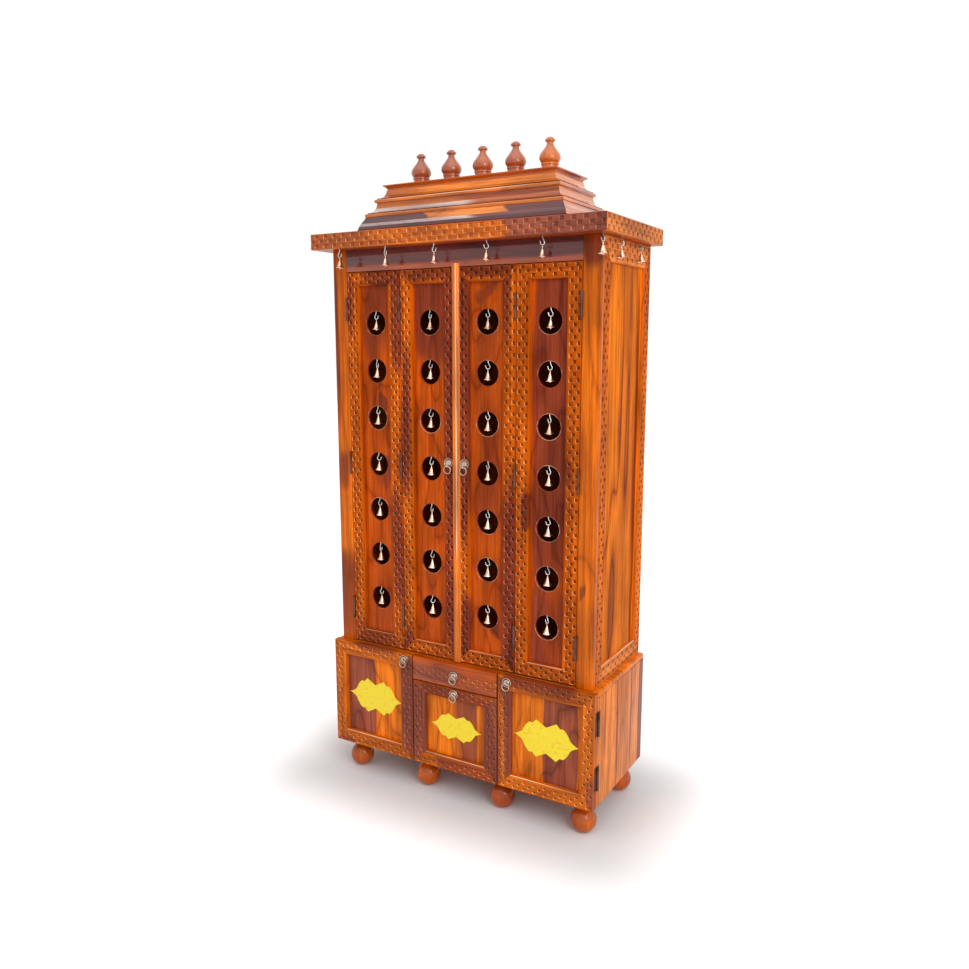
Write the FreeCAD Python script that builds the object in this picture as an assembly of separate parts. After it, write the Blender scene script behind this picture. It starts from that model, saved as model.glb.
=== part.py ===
import FreeCAD
import Part
import math
import os

# Household prayer cabinet (pooja mandir), modelled in millimetres.
# +X is the cabinet's right, -Y its front, +Z up.
# The origin is on the floor, below the middle of the whole cabinet.

# Overall plan: the cornice slab is the widest and deepest piece
cornice_width = 1020.0
cornice_depth = 450.0
cornice_thickness = 49.0

# Main boxes, one above the other
foot_height = 108.0
base_width = 980.0
base_height = 370.0
base_front_setback = 37.0
cabinet_width = 944.0
cabinet_height = 1315.0
cabinet_front_setback = 62.0

# Boards and general clearances
board_thickness = 18.0
base_front_thickness = 24.0
upper_front_thickness = 20.0
back_thickness = 9.0
fit_gap = 0.3
swing_gap = 5.0

# Ball feet
foot_ball_radius = 41.0
foot_flat_radius = 15.0
foot_neck_radius = 17.0
foot_collar_radius = 24.0
foot_collar_height = 10.0
foot_side_inset = 57.0
foot_inner_x = 145.0
foot_front_inset = 39.0
foot_back_inset = 50.0

# Base cabinet: two doors beside a bay with two drawers
bay_width = 322.0
drawer_front_height = 78.5
shelf_thickness = 12.0
door_frame_width = 46.0
deep_front_top_rail = 36.0
base_recess = 14.0
leaf_recess = 12.0
side_recess = 8.0
panel_thickness = 8.0
panel_lap = 6.0

# Drawer boxes and their runners
drawer_wall = 12.0
drawer_floor = 6.0
drawer_back_room = 34.0
deep_box_height = 190.0
runner_height = 6.0
runner_width = 12.0
runner_back_room = 39.0

# Upper cabinet front: stiles, header and four tall leaves
stile_width = 55.0
header_height = 68.0
leaf_count = 4
leaf_gap = 2.0
leaf_floor_gap = 6.0
leaf_frame_width = 44.0

# Bell holes down each tall leaf
hole_radius = 38.5
hole_pitch = 152.7
hole_count = 7

# Half-round strip that covers the middle seam
strip_width = 28.0
strip_rise = 9.0
strip_overrun_top = 12.0
strip_overrun_bottom = 2.0

# Framed sides of the upper cabinet
side_front_stile = 45.0
side_rear_stile = 51.0
side_top_rail = 70.0
side_bottom_rail = 56.0

# Roof tiers, from the cornice up: half sizes and heights
skirt_half_x = 368.0
skirt_half_y = 170.0
skirt_height = 50.0
lower_tier_half_x = 348.0
lower_tier_half_y = 149.0
lower_tier_height = 46.0
upper_tier_half_x = 326.0
upper_tier_half_y = 127.0
upper_tier_height = 40.0
top_board_half_x = 306.0
top_board_half_y = 108.0
top_board_thickness = 16.0
ledge_thickness = 11.0
ledge_step = 6.0
cove_run = 22.0
skirt_flare = 22.0
lip_thickness = 4.0
lip_flare = 11.0

# Kalash finials in a row on the top board
kalash_count = 5
kalash_pitch = 115.5
kalash_height = 106.0
kalash_foot_radius = 26.0
kalash_foot_height = 31.0
kalash_belly_radius = 32.4
kalash_belly_height = 48.0
kalash_neck_radius = 10.5
kalash_neck_height = 85.0
kalash_rim_radius = 14.2
kalash_rim_height = 97.0

# Screw hooks and bells
hook_wire_radius = 1.3
hook_bend_radius = 4.6
hook_drop = 20.0
bell_height = 29.0
bell_mouth_radius = 15.5
bell_shoulder_radius = 6.5
bell_wall = 1.3
bell_loop_radius = 3.4
bell_loop_wire = 1.0
clapper_radius = 2.6
clapper_rod_radius = 0.8
eave_bell_count = 6
eave_bell_left_inset = 97.0
eave_bell_right_inset = 20.0
eave_bell_front_inset = 25.0
side_bell_inset = 20.0
side_bell_back_insets = (133.0, 290.0)

# Ring pulls: rosette boss, post with a cross bore, hanging ring
boss_radius = 14.0
boss_thickness = 2.6
boss_step_radius = 9.0
boss_step_thickness = 4.2
post_radius = 4.3
post_length = 9.0
pull_ring_radius = 12.0
pull_wire_radius = 1.8
base_pull_edge_inset = 32.0
base_pull_top_inset = 20.0
leaf_pull_x = 29.0
leaf_pull_z = 1119.0
leaf_rosette_rise = 9.0

# Butt hinges
hinge_height = 76.0
hinge_knuckle_radius = 4.0
hinge_plate_width = 17.0
hinge_plate_thickness = 1.5
hinge_pin_radius = 1.5
hinge_pin_clearance = 0.1
base_hinge_offset = 87.0
leaf_hinge_inset = 117.0

# Double-leaf plates on the three base panels
plate_thickness = 1.5
door_plate_margin = 6.25
door_plate_aspect = 0.55
drawer_plate_margin = 15.5
drawer_plate_aspect = 0.464
plate_leaf_share = 0.31
plate_lower_lobe = ((0.78, 0.11), (0.61, 0.27))
plate_upper_lobe = ((0.49, 0.56), (0.32, 0.80))
plate_shoulder = (0.16, 0.79)
plate_notch = 0.69

# Shape shares of turned and moulded profiles
bell_shoulder_drop = 0.14
bell_waist_drop = 0.62
bell_waist_spread = 0.25
hook_opening = 0.4
cove_depth = 0.16
skirt_hollow = (0.72, 0.42)
lip_hollow = (0.72, 0.62)
kalash_waist = 0.96
kalash_shoulder = (0.42, 0.5)
join_tolerance = 1e-6

# Levels and planes that follow from the sizes above
base_bottom_z = foot_height
base_top_z = base_bottom_z + base_height
cornice_bottom_z = base_top_z + cabinet_height
cornice_top_z = cornice_bottom_z + cornice_thickness
back_y = cornice_depth / 2
base_front_y = -cornice_depth / 2 + base_front_setback
front_back_y = base_front_y + base_front_thickness
carcass_front_y = front_back_y + swing_gap
cabinet_front_y = -cornice_depth / 2 + cabinet_front_setback
cabinet_inner_y = cabinet_front_y + upper_front_thickness
base_half = base_width / 2
cabinet_half = cabinet_width / 2
bay_half = bay_width / 2
divider_inner_x = bay_half - board_thickness / 2
divider_outer_x = bay_half + board_thickness / 2
drawer_front_bottom_z = base_top_z - drawer_front_height
split_z = drawer_front_bottom_z - swing_gap / 2
shelf_bottom_z = split_z - shelf_thickness / 2
shelf_top_z = shelf_bottom_z + shelf_thickness
floor_z = base_bottom_z + board_thickness
ceiling_z = base_top_z - board_thickness
leaf_bottom_z = base_top_z + leaf_floor_gap
leaf_top_z = cornice_bottom_z - header_height - leaf_gap
stile_inner_x = cabinet_half - stile_width
leaf_width = (2 * stile_inner_x - (leaf_count + 1) * leaf_gap) / leaf_count
leaf_pitch = leaf_width + leaf_gap
drawer_length = back_y - back_thickness - drawer_back_room - front_back_y
runner_length = back_y - back_thickness - runner_back_room - carcass_front_y
door_width = base_half - bay_half - swing_gap / 2
deep_front_width = bay_width - swing_gap
door_plate_half_width = door_width / 2 - door_frame_width - door_plate_margin
drawer_plate_half_width = deep_front_width / 2 - door_frame_width - drawer_plate_margin
eave_bell_run = cornice_width - eave_bell_left_inset - eave_bell_right_inset


def vec(x, y, z):
    return FreeCAD.Vector(x, y, z)


def block(x0, x1, y0, y1, z0, z1):
    return Part.makeBox(x1 - x0, y1 - y0, z1 - z0, vec(x0, y0, z0))


def mirrored(shape):
    return shape.mirror(vec(0, 0, 0), vec(1, 0, 0))


def save(name, *solids):
    shape = solids[0] if len(solids) == 1 else Part.makeCompound(list(solids))
    shape.exportStep(os.path.join("parts", name + ".step"))


def profile_face(start, steps, to_point):
    """Closed face from a start point and steps of one (line) or two (arc) points."""
    edges = []
    here = start
    for step in steps:
        end = step[-1]
        if len(step) == 2:
            edges.append(Part.Arc(to_point(*here), to_point(*step[0]), to_point(*end)).toShape())
        else:
            edges.append(Part.LineSegment(to_point(*here), to_point(*end)).toShape())
        here = end
    if math.dist(here, start) > join_tolerance:
        edges.append(Part.LineSegment(to_point(*here), to_point(*start)).toShape())
    return Part.Face(Part.Wire(edges))


def turned(start, steps):
    """Solid of revolution about Z from a profile of (radius, height) points."""
    face = profile_face(start, steps, lambda r, z: vec(r, 0, z))
    return face.revolve(vec(0, 0, 0), vec(0, 0, 1), 360)


def cap(radius, z, top_z):
    """Step that closes a turned profile with part of a ball, from its edge to the axis."""
    rise = top_z - z
    ball = (radius ** 2 + rise ** 2) / (2 * rise)
    centre_z = top_z - ball
    angle = (math.atan2(z - centre_z, radius) + math.pi / 2) / 2
    return [(ball * math.cos(angle), centre_z + ball * math.sin(angle)), (0, top_z)]


# Framed fronts

def frame_front(outline, rails, y0, thickness, recess):
    """Mitred frame facing -Y, rebated at the back for its panel.
    outline is x0, x1, z0, z1, and rails the widths of the stiles, top rail and bottom rail."""
    x0, x1, z0, z1 = outline
    stile, top, bottom = rails
    y1 = y0 + thickness
    body = block(x0, x1, y0, y1, z0, z1)
    window = block(x0 + stile, x1 - stile, y0, y1, z0 + bottom, z1 - top)
    rebate = block(x0 + stile - panel_lap, x1 - stile + panel_lap, y0 + recess, y1,
                   z0 + bottom - panel_lap, z1 - top + panel_lap)
    return body.cut(window.fuse(rebate))


def panel_front(outline, rails, y0, recess):
    """Panel that sits in the rebate of the frame with the same sizes."""
    x0, x1, z0, z1 = outline
    stile, top, bottom = rails
    edge = panel_lap - fit_gap
    y = y0 + recess
    return block(x0 + stile - edge, x1 - stile + edge, y, y + panel_thickness,
                 z0 + bottom - edge, z1 - top + edge)


# Base cabinet

def foot():
    centre_z = math.sqrt(foot_ball_radius ** 2 - foot_flat_radius ** 2)
    neck_z = centre_z + math.sqrt(foot_ball_radius ** 2 - foot_neck_radius ** 2)
    collar_z = foot_height - foot_collar_height
    steps = [[(foot_flat_radius, 0)],
             [(foot_ball_radius, centre_z), (foot_neck_radius, neck_z)],
             [(foot_neck_radius, collar_z)],
             [(foot_collar_radius, collar_z)],
             [(foot_collar_radius, foot_height)],
             [(0, foot_height)]]
    return turned((0, 0), steps)


def feet():
    outer_x = base_half - foot_side_inset
    solids = []
    for y in (carcass_front_y + foot_front_inset, back_y - foot_back_inset):
        for x in (-outer_x, -foot_inner_x, foot_inner_x, outer_x):
            solids.append(foot().translated(vec(x, y, 0)))
    return solids


def base_carcass():
    inner = base_half - board_thickness
    right_side = block(inner, base_half, carcass_front_y, back_y, base_bottom_z, ceiling_z)
    divider = block(divider_inner_x, divider_outer_x, carcass_front_y, back_y - back_thickness,
                    floor_z, ceiling_z)
    save("base_right_side", right_side)
    save("base_left_side", mirrored(right_side))
    save("base_bottom", block(-inner, inner, carcass_front_y, back_y, base_bottom_z, floor_z))
    save("base_top", block(-base_half, base_half, carcass_front_y, back_y, ceiling_z, base_top_z))
    save("base_back", block(-inner, inner, back_y - back_thickness, back_y, floor_z, ceiling_z))
    save("base_dividers", mirrored(divider), divider)
    save("drawer_shelf", block(-divider_inner_x, divider_inner_x, carcass_front_y,
                               back_y - back_thickness, shelf_bottom_z, shelf_top_z))
    save("ball_feet", *feet())


def box_half_width():
    return divider_inner_x - swing_gap


def runners():
    solids = []
    outer = box_half_width()
    for z in (floor_z, shelf_top_z):
        strip = block(outer - runner_width, outer, carcass_front_y,
                      carcass_front_y + runner_length, z, z + runner_height)
        solids += [mirrored(strip), strip]
    return solids


def drawer_box(rest_z, height):
    """Open box behind a drawer front, standing just clear of its runners."""
    outer = box_half_width()
    z0 = rest_z + runner_height + fit_gap
    z1 = z0 + height
    y0 = front_back_y
    y1 = y0 + drawer_length
    inside = block(-outer + drawer_wall, outer - drawer_wall, y0 + drawer_wall, y1 - drawer_wall,
                   z0 + drawer_floor, z1)
    return block(-outer, outer, y0, y1, z0, z1).cut(inside)


# Ring pulls

def post_sag():
    return pull_ring_radius - math.sqrt(pull_ring_radius ** 2 - post_radius ** 2)


def pull_boss(x, face_y, z, rise):
    """Rosette on a front face, with a round-ended post bored across for the ring.
    The rosette's middle stands by rise above the post."""
    bore_radius = pull_wire_radius + post_sag() + fit_gap
    tip = post_length + post_radius
    rosette = turned((0, 0), [[(boss_radius, 0)],
                              [(boss_radius, boss_thickness)],
                              [(boss_step_radius, boss_thickness)],
                              [(boss_step_radius, boss_step_thickness)],
                              [(0, boss_step_thickness)]])
    post = turned((0, 0), [[(post_radius, 0)],
                           [(post_radius, post_length)],
                           cap(post_radius, post_length, tip)])
    body = rosette.translated(vec(0, rise, 0)).fuse(post).removeSplitter()
    bore = Part.makeCylinder(bore_radius, 2 * boss_radius, vec(-boss_radius, 0, post_length), vec(1, 0, 0))
    body = body.cut(bore)
    body.rotate(vec(0, 0, 0), vec(1, 0, 0), 90)
    return body.translated(vec(x, face_y, z))


def pull_ring(x, face_y, z):
    ring = Part.makeTorus(pull_ring_radius, pull_wire_radius, vec(0, 0, 0), vec(0, 1, 0))
    return ring.translated(vec(x, face_y - post_length, z - pull_ring_radius))


# Butt hinges of the base doors, right-hand side

def hinge_axis_y():
    return (front_back_y + carcass_front_y) / 2


def knuckle(z0, z1, radius):
    return Part.makeCylinder(radius, z1 - z0, vec(base_half + hinge_knuckle_radius, hinge_axis_y(), z0))


def hinge_levels():
    middle = base_bottom_z + base_height / 2
    return (middle - base_hinge_offset, middle + base_hinge_offset)


def hinge_pair(centre_z):
    """Fixed and moving halves of one hinge, laid flat across the door seam."""
    z0 = centre_z - hinge_height / 2
    z3 = centre_z + hinge_height / 2
    third = hinge_height / 3
    z1 = z0 + third
    z2 = z3 - third
    y = hinge_axis_y()
    x0 = base_half
    x1 = base_half + hinge_plate_thickness
    room = hinge_knuckle_radius + fit_gap
    fixed = block(x0, x1, carcass_front_y, y + hinge_plate_width, z0, z3)
    fixed = fixed.cut(knuckle(z1 - fit_gap, z2 + fit_gap, room))
    pin = knuckle(z0, z3, hinge_pin_radius)
    for low, high in ((z0, z1 - fit_gap), (z2 + fit_gap, z3)):
        neck = block(x0, x1, y, carcass_front_y, low, high)
        fixed = fixed.fuse([knuckle(low, high, hinge_knuckle_radius), neck])
    fixed = fixed.fuse(pin).removeSplitter()
    moving = block(x0, x1, y - hinge_plate_width, front_back_y, z0, z3)
    moving = moving.cut(knuckle(z0, z1, room).fuse(knuckle(z2, z3, room)))
    neck = block(x0, x1, front_back_y, y, z1, z2)
    moving = moving.fuse([knuckle(z1, z2, hinge_knuckle_radius), neck])
    moving = moving.cut(knuckle(z1, z2, hinge_pin_radius + hinge_pin_clearance)).removeSplitter()
    return fixed, moving


# Double-leaf plates

def plate_quarter(half_width, half_height):
    """Steps from the side tip over the lobes to the top tip and down to the middle notch."""
    shift = plate_leaf_share * half_width
    leaf = half_width - shift

    def at(u, v):
        return (shift + u * leaf, v * half_height)

    return [[at(*point) for point in plate_lower_lobe],
            [at(*point) for point in plate_upper_lobe],
            [at(*plate_shoulder)],
            [at(0, 1)],
            [(0, plate_notch * half_height)]]


def flipped(steps, start, x_sign, z_sign):
    """The same steps mirrored and walked backwards, ending at the mirrored start."""
    points = [start] + [step[-1] for step in steps]
    back = []
    for index in range(len(steps) - 1, -1, -1):
        route = list(steps[index][:-1]) + [points[index]]
        back.append([(x_sign * x, z_sign * z) for x, z in route])
    return back


def plate(x, z, panel_face_y, half_width, aspect):
    half_height = aspect * half_width
    start = (half_width, 0)
    quarter = plate_quarter(half_width, half_height)
    top = quarter + flipped(quarter, start, -1, 1)
    bottom = [[(-px, -pz) for px, pz in step] for step in top]
    face = profile_face(start, top + bottom, lambda u, v: vec(x + u, panel_face_y, z + v))
    return face.extrude(vec(0, -plate_thickness, 0))


# Doors and drawers of the base

def base_doors():
    x0 = base_half - door_width
    x1 = base_half
    outline = (x0, x1, base_bottom_z, base_top_z)
    rails = (door_frame_width, door_frame_width, door_frame_width)
    pull_x = x0 + base_pull_edge_inset
    pull_z = base_top_z - base_pull_top_inset
    panel_y = base_front_y + base_recess
    fixed_plates = []
    moving_plates = []
    for level in hinge_levels():
        fixed, moving = hinge_pair(level)
        fixed_plates.append(fixed)
        moving_plates.append(moving)
    pieces = {
        "door_frame": [frame_front(outline, rails, base_front_y, base_front_thickness, base_recess)],
        "door_panel": [panel_front(outline, rails, base_front_y, base_recess)],
        "door_plate": [plate((x0 + x1) / 2, base_bottom_z + base_height / 2, panel_y,
                             door_plate_half_width, door_plate_aspect)],
        "door_hinge_leaves": moving_plates,
        "door_boss": [pull_boss(pull_x, base_front_y, pull_z, 0)],
        "door_ring": [pull_ring(pull_x, base_front_y, pull_z)],
    }
    for name, solids in pieces.items():
        save("right_" + name, *solids)
        save("left_" + name, *[mirrored(solid) for solid in solids])
    save("base_hinge_leaves", *fixed_plates, *[mirrored(solid) for solid in fixed_plates])


def drawers():
    half = deep_front_width / 2
    drawer_z = base_top_z - drawer_front_height / 2
    box_height = ceiling_z - swing_gap - shelf_top_z - runner_height - fit_gap
    save("drawer_front", block(-half, half, base_front_y, front_back_y, drawer_front_bottom_z, base_top_z))
    save("drawer_box", drawer_box(shelf_top_z, box_height))
    save("drawer_boss", pull_boss(0, base_front_y, drawer_z, 0))
    save("drawer_ring", pull_ring(0, base_front_y, drawer_z))
    top_z = drawer_front_bottom_z - swing_gap
    outline = (-half, half, base_bottom_z, top_z)
    rails = (door_frame_width, deep_front_top_rail, door_frame_width)
    pull_z = top_z - deep_front_top_rail / 2
    panel_z = (base_bottom_z + door_frame_width + top_z - deep_front_top_rail) / 2
    save("deep_drawer_frame", frame_front(outline, rails, base_front_y, base_front_thickness, base_recess))
    save("deep_drawer_panel", panel_front(outline, rails, base_front_y, base_recess))
    save("deep_drawer_plate", plate(0, panel_z, base_front_y + base_recess,
                                    drawer_plate_half_width, drawer_plate_aspect))
    save("deep_drawer_box", drawer_box(floor_z, deep_box_height))
    save("deep_drawer_boss", pull_boss(0, base_front_y, pull_z, 0))
    save("deep_drawer_ring", pull_ring(0, base_front_y, pull_z))
    save("drawer_runners", *runners())


# Bells

def bell_shell():
    """Hollow bell with its crown at z = 0 and its mouth below."""
    shoulder_z = -bell_shoulder_drop * bell_height
    waist_z = -bell_waist_drop * bell_height
    waist_radius = bell_shoulder_radius + bell_waist_spread * (bell_mouth_radius - bell_shoulder_radius)
    inner_top = shoulder_z - bell_wall
    crown = cap(bell_shoulder_radius, shoulder_z, 0)
    steps = [[(waist_radius - bell_wall, waist_z), (bell_mouth_radius - bell_wall, -bell_height)],
             [(bell_mouth_radius, -bell_height)],
             [(waist_radius, waist_z), (bell_shoulder_radius, shoulder_z)],
             crown,
             [(0, inner_top)]]
    return turned((bell_shoulder_radius - bell_wall, inner_top), steps)


def clapper():
    top = -bell_shoulder_drop * bell_height
    low = -bell_height - clapper_radius / 2
    rod = Part.makeCylinder(clapper_rod_radius, top - bell_wall - low, vec(0, 0, low))
    return rod.fuse(Part.makeSphere(clapper_radius, vec(0, 0, low)))


def hanging_bell():
    """Screw hook, bell loop, bell and clapper in one piece; z = 0 is the hook's seat."""
    wire = hook_wire_radius
    bend_z = -hook_drop
    shank = Part.makeCylinder(wire, hook_drop, vec(hook_bend_radius, 0, bend_z))
    bend = Part.makeTorus(hook_bend_radius, wire, vec(0, 0, bend_z), vec(0, 1, 0))
    reach = 2 * hook_bend_radius
    open_side = block(-reach, 0, -reach, reach, bend_z + hook_opening * hook_bend_radius, 0)
    upper_half = block(0, reach, -reach, reach, bend_z, 0)
    hook = bend.cut(open_side.fuse(upper_half)).fuse(shank)
    loop_z = bend_z - hook_bend_radius - bell_loop_radius + wire
    loop = Part.makeTorus(bell_loop_radius, bell_loop_wire, vec(0, 0, loop_z), vec(1, 0, 0))
    crown_z = loop_z - bell_loop_radius + bell_loop_wire / 2
    bell = bell_shell().fuse(clapper()).translated(vec(0, 0, crown_z))
    return hook.fuse([loop, bell])


def leaf_bells(bell):
    solids = []
    y = cabinet_front_y + leaf_recess + panel_thickness / 2
    seat = math.sqrt(hole_radius ** 2 - (hook_bend_radius + hook_wire_radius) ** 2) - fit_gap
    for x in leaf_centres():
        for z in hole_levels():
            solids.append(bell.translated(vec(x, y, z + seat)))
    return solids


def eave_bells(bell):
    z = cornice_bottom_z
    solids = []
    for k in range(eave_bell_count):
        x = -cornice_width / 2 + eave_bell_left_inset + k * eave_bell_run / (eave_bell_count - 1)
        solids.append(bell.translated(vec(x, -cornice_depth / 2 + eave_bell_front_inset, z)))
    side_x = cornice_width / 2 - side_bell_inset
    for x in (-side_x, side_x):
        for inset in side_bell_back_insets:
            solids.append(bell.translated(vec(x, back_y - inset, z)))
    return solids


# Upper cabinet

def leaf_left_edges():
    return [-stile_inner_x + leaf_gap + k * leaf_pitch for k in range(leaf_count)]


def leaf_centres():
    return [x + leaf_width / 2 for x in leaf_left_edges()]


def hole_levels():
    middle = (leaf_bottom_z + leaf_top_z) / 2
    first = middle - hole_pitch * (hole_count - 1) / 2
    return [first + k * hole_pitch for k in range(hole_count)]


def tall_leaves():
    y = cabinet_front_y
    rails = (leaf_frame_width, leaf_frame_width, leaf_frame_width)
    for number, x0 in enumerate(leaf_left_edges(), start=1):
        outline = (x0, x0 + leaf_width, leaf_bottom_z, leaf_top_z)
        panel = panel_front(outline, rails, y, leaf_recess)
        for z in hole_levels():
            hole = Part.makeCylinder(hole_radius, 2 * upper_front_thickness,
                                     vec(x0 + leaf_width / 2, y, z), vec(0, 1, 0))
            panel = panel.cut(hole)
        save("leaf_%d_frame" % number, frame_front(outline, rails, y, upper_front_thickness, leaf_recess))
        save("leaf_%d_panel" % number, panel)


def tall_hinge(x, z):
    """Knuckle on the front and a plate that fills the seam between two leaves."""
    low = z - hinge_height / 2
    y = cabinet_front_y - hinge_knuckle_radius
    barrel = Part.makeCylinder(hinge_knuckle_radius, hinge_height, vec(x, y, low))
    seam = block(x - leaf_gap / 2, x + leaf_gap / 2, y, cabinet_front_y + hinge_plate_width,
                 low, low + hinge_height)
    return barrel.fuse(seam).removeSplitter()


def tall_hinges():
    seam = stile_inner_x - leaf_gap / 2
    levels = (leaf_bottom_z + leaf_hinge_inset, (leaf_bottom_z + leaf_top_z) / 2,
              leaf_top_z - leaf_hinge_inset)
    return [tall_hinge(x, z) for x in (-seam, leaf_pitch - seam, seam - leaf_pitch, seam) for z in levels]


def meeting_strip():
    """Half-round strip over the seam in the middle."""
    half = strip_width / 2
    face = profile_face((-half, 0), [[(0, -strip_rise), (half, 0)]],
                        lambda x, y: vec(x, cabinet_front_y + y, leaf_bottom_z - strip_overrun_bottom))
    height = leaf_top_z - leaf_bottom_z + strip_overrun_bottom + strip_overrun_top
    return face.extrude(vec(0, 0, height))


def side_frame_and_panel():
    outer = cabinet_half
    inner = outer - upper_front_thickness
    y0 = cabinet_inner_y
    z0 = base_top_z
    z1 = cornice_bottom_z
    wy0 = y0 + side_front_stile
    wy1 = back_y - side_rear_stile
    wz0 = z0 + side_bottom_rail
    wz1 = z1 - side_top_rail
    rebate = block(inner, outer - side_recess, wy0 - panel_lap, wy1 + panel_lap,
                   wz0 - panel_lap, wz1 + panel_lap)
    window = block(inner, outer, wy0, wy1, wz0, wz1)
    frame = block(inner, outer, y0, back_y, z0, z1).cut(window.fuse(rebate))
    edge = panel_lap - fit_gap
    face_x = outer - side_recess
    panel = block(face_x - panel_thickness, face_x, wy0 - edge, wy1 + edge, wz0 - edge, wz1 + edge)
    return frame, panel


def upper_cabinet():
    z0 = base_top_z
    z1 = cornice_bottom_z
    stile = block(stile_inner_x, cabinet_half, cabinet_front_y, cabinet_inner_y, z0, z1)
    inner = cabinet_half - upper_front_thickness
    frame, panel = side_frame_and_panel()
    save("front_stiles", mirrored(stile), stile)
    save("header_board", block(-stile_inner_x, stile_inner_x, cabinet_front_y, cabinet_inner_y,
                               z1 - header_height, z1))
    save("side_frames", mirrored(frame), frame)
    save("side_panels", mirrored(panel), panel)
    save("shrine_back", block(-inner, inner, back_y - back_thickness, back_y, z0, z1))
    tall_leaves()
    save("tall_leaf_hinges", *tall_hinges())
    save("meeting_strip", meeting_strip())
    boss = pull_boss(leaf_pull_x, cabinet_front_y, leaf_pull_z, leaf_rosette_rise)
    ring = pull_ring(leaf_pull_x, cabinet_front_y, leaf_pull_z)
    save("leaf_bosses", mirrored(boss), boss)
    save("right_leaf_ring", ring)
    save("left_leaf_ring", mirrored(ring))


# Roof

def moulded_block(half_x, half_y, start, steps):
    """Four-sided block whose edge profile runs round all sides with mitred corners.
    Profile points are (inset from the widest edge, height)."""
    def face(half, place):
        edges = []
        for side in (1, -1):
            here = start
            for step in steps:
                end = step[-1]
                a = place(side * (half - here[0]), here[1])
                b = place(side * (half - end[0]), end[1])
                if len(step) == 2:
                    mid = place(side * (half - step[0][0]), step[0][1])
                    edges.append(Part.Arc(a, mid, b).toShape())
                else:
                    edges.append(Part.LineSegment(a, b).toShape())
                here = end
        for inset, z in (start, steps[-1][-1]):
            edges.append(Part.LineSegment(place(-(half - inset), z), place(half - inset, z)).toShape())
        return Part.Face(Part.Wire(Part.__sortEdges__(edges)))

    along_x = face(half_y, lambda u, z: vec(-half_x, u, z)).extrude(vec(2 * half_x, 0, 0))
    along_y = face(half_x, lambda u, z: vec(u, -half_y, z)).extrude(vec(0, 2 * half_y, 0))
    return along_x.common(along_y)


def cove(low, high):
    """Hollow arc from a low outer point to a high inner point."""
    inset = high[0] - low[0]
    rise = high[1] - low[1]
    middle = (low[0] + inset / 2 + rise * cove_depth, low[1] + rise / 2 - inset * cove_depth)
    return [[middle, high]]


def roof():
    z0 = cornice_top_z
    z1 = z0 + skirt_height
    z2 = z1 + lower_tier_height
    z3 = z2 + upper_tier_height
    z4 = z3 + top_board_thickness
    hollow = (skirt_hollow[0] * skirt_flare, z0 + skirt_hollow[1] * skirt_height)
    skirt = moulded_block(skirt_half_x, skirt_half_y, (0, z0), [[hollow, (skirt_flare, z1)]])
    save("roof_skirt", skirt)
    for name, half_x, half_y, low, high in (
            ("roof_lower_tier", lower_tier_half_x, lower_tier_half_y, z1, z2),
            ("roof_upper_tier", upper_tier_half_x, upper_tier_half_y, z2, z3)):
        shelf = low + ledge_thickness
        steps = [[(0, shelf)], [(ledge_step, shelf)]]
        steps += cove((ledge_step, shelf), (ledge_step + cove_run, high))
        save(name, moulded_block(half_x, half_y, (0, low), steps))
    under_lip = (lip_hollow[0] * lip_flare, z3 + lip_hollow[1] * (top_board_thickness - lip_thickness))
    steps = [[under_lip, (0, z4 - lip_thickness)], [(0, z4)]]
    save("roof_top_board", moulded_block(top_board_half_x, top_board_half_y, (lip_flare, z3), steps))
    save("kalash_finials", *kalash_row(z4))


def kalash():
    foot_z = kalash_foot_height
    belly_z = kalash_belly_height
    neck_z = kalash_neck_height
    rim_z = kalash_rim_height
    waist = kalash_waist * kalash_foot_radius
    slope = math.cos(math.pi / 4)
    low_arc = (kalash_belly_radius - (1 - slope) * (kalash_belly_radius - waist),
               belly_z - slope * (belly_z - foot_z))
    high_arc = (kalash_neck_radius + kalash_shoulder[0] * (kalash_belly_radius - kalash_neck_radius),
                belly_z + kalash_shoulder[1] * (neck_z - belly_z))
    steps = [[(kalash_foot_radius, 0)],
             [(kalash_foot_radius, foot_z)],
             [(waist, foot_z)],
             [low_arc, (kalash_belly_radius, belly_z)],
             [high_arc, (kalash_neck_radius, neck_z)],
             [(kalash_rim_radius, rim_z)],
             cap(kalash_rim_radius, rim_z, kalash_height)]
    return turned((0, 0), steps)


def kalash_row(z):
    finial = kalash()
    first = -kalash_pitch * (kalash_count - 1) / 2
    return [finial.translated(vec(first + k * kalash_pitch, 0, z)) for k in range(kalash_count)]


def cornice():
    half_x = cornice_width / 2
    half_y = cornice_depth / 2
    save("cornice_slab", block(-half_x, half_x, -half_y, half_y, cornice_bottom_z, cornice_top_z))


def main():
    os.makedirs("parts", exist_ok=True)
    base_carcass()
    base_doors()
    drawers()
    upper_cabinet()
    bell = hanging_bell()
    save("leaf_bells", *leaf_bells(bell))
    save("eave_bells", *eave_bells(bell))
    cornice()
    roof()


main()
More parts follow.
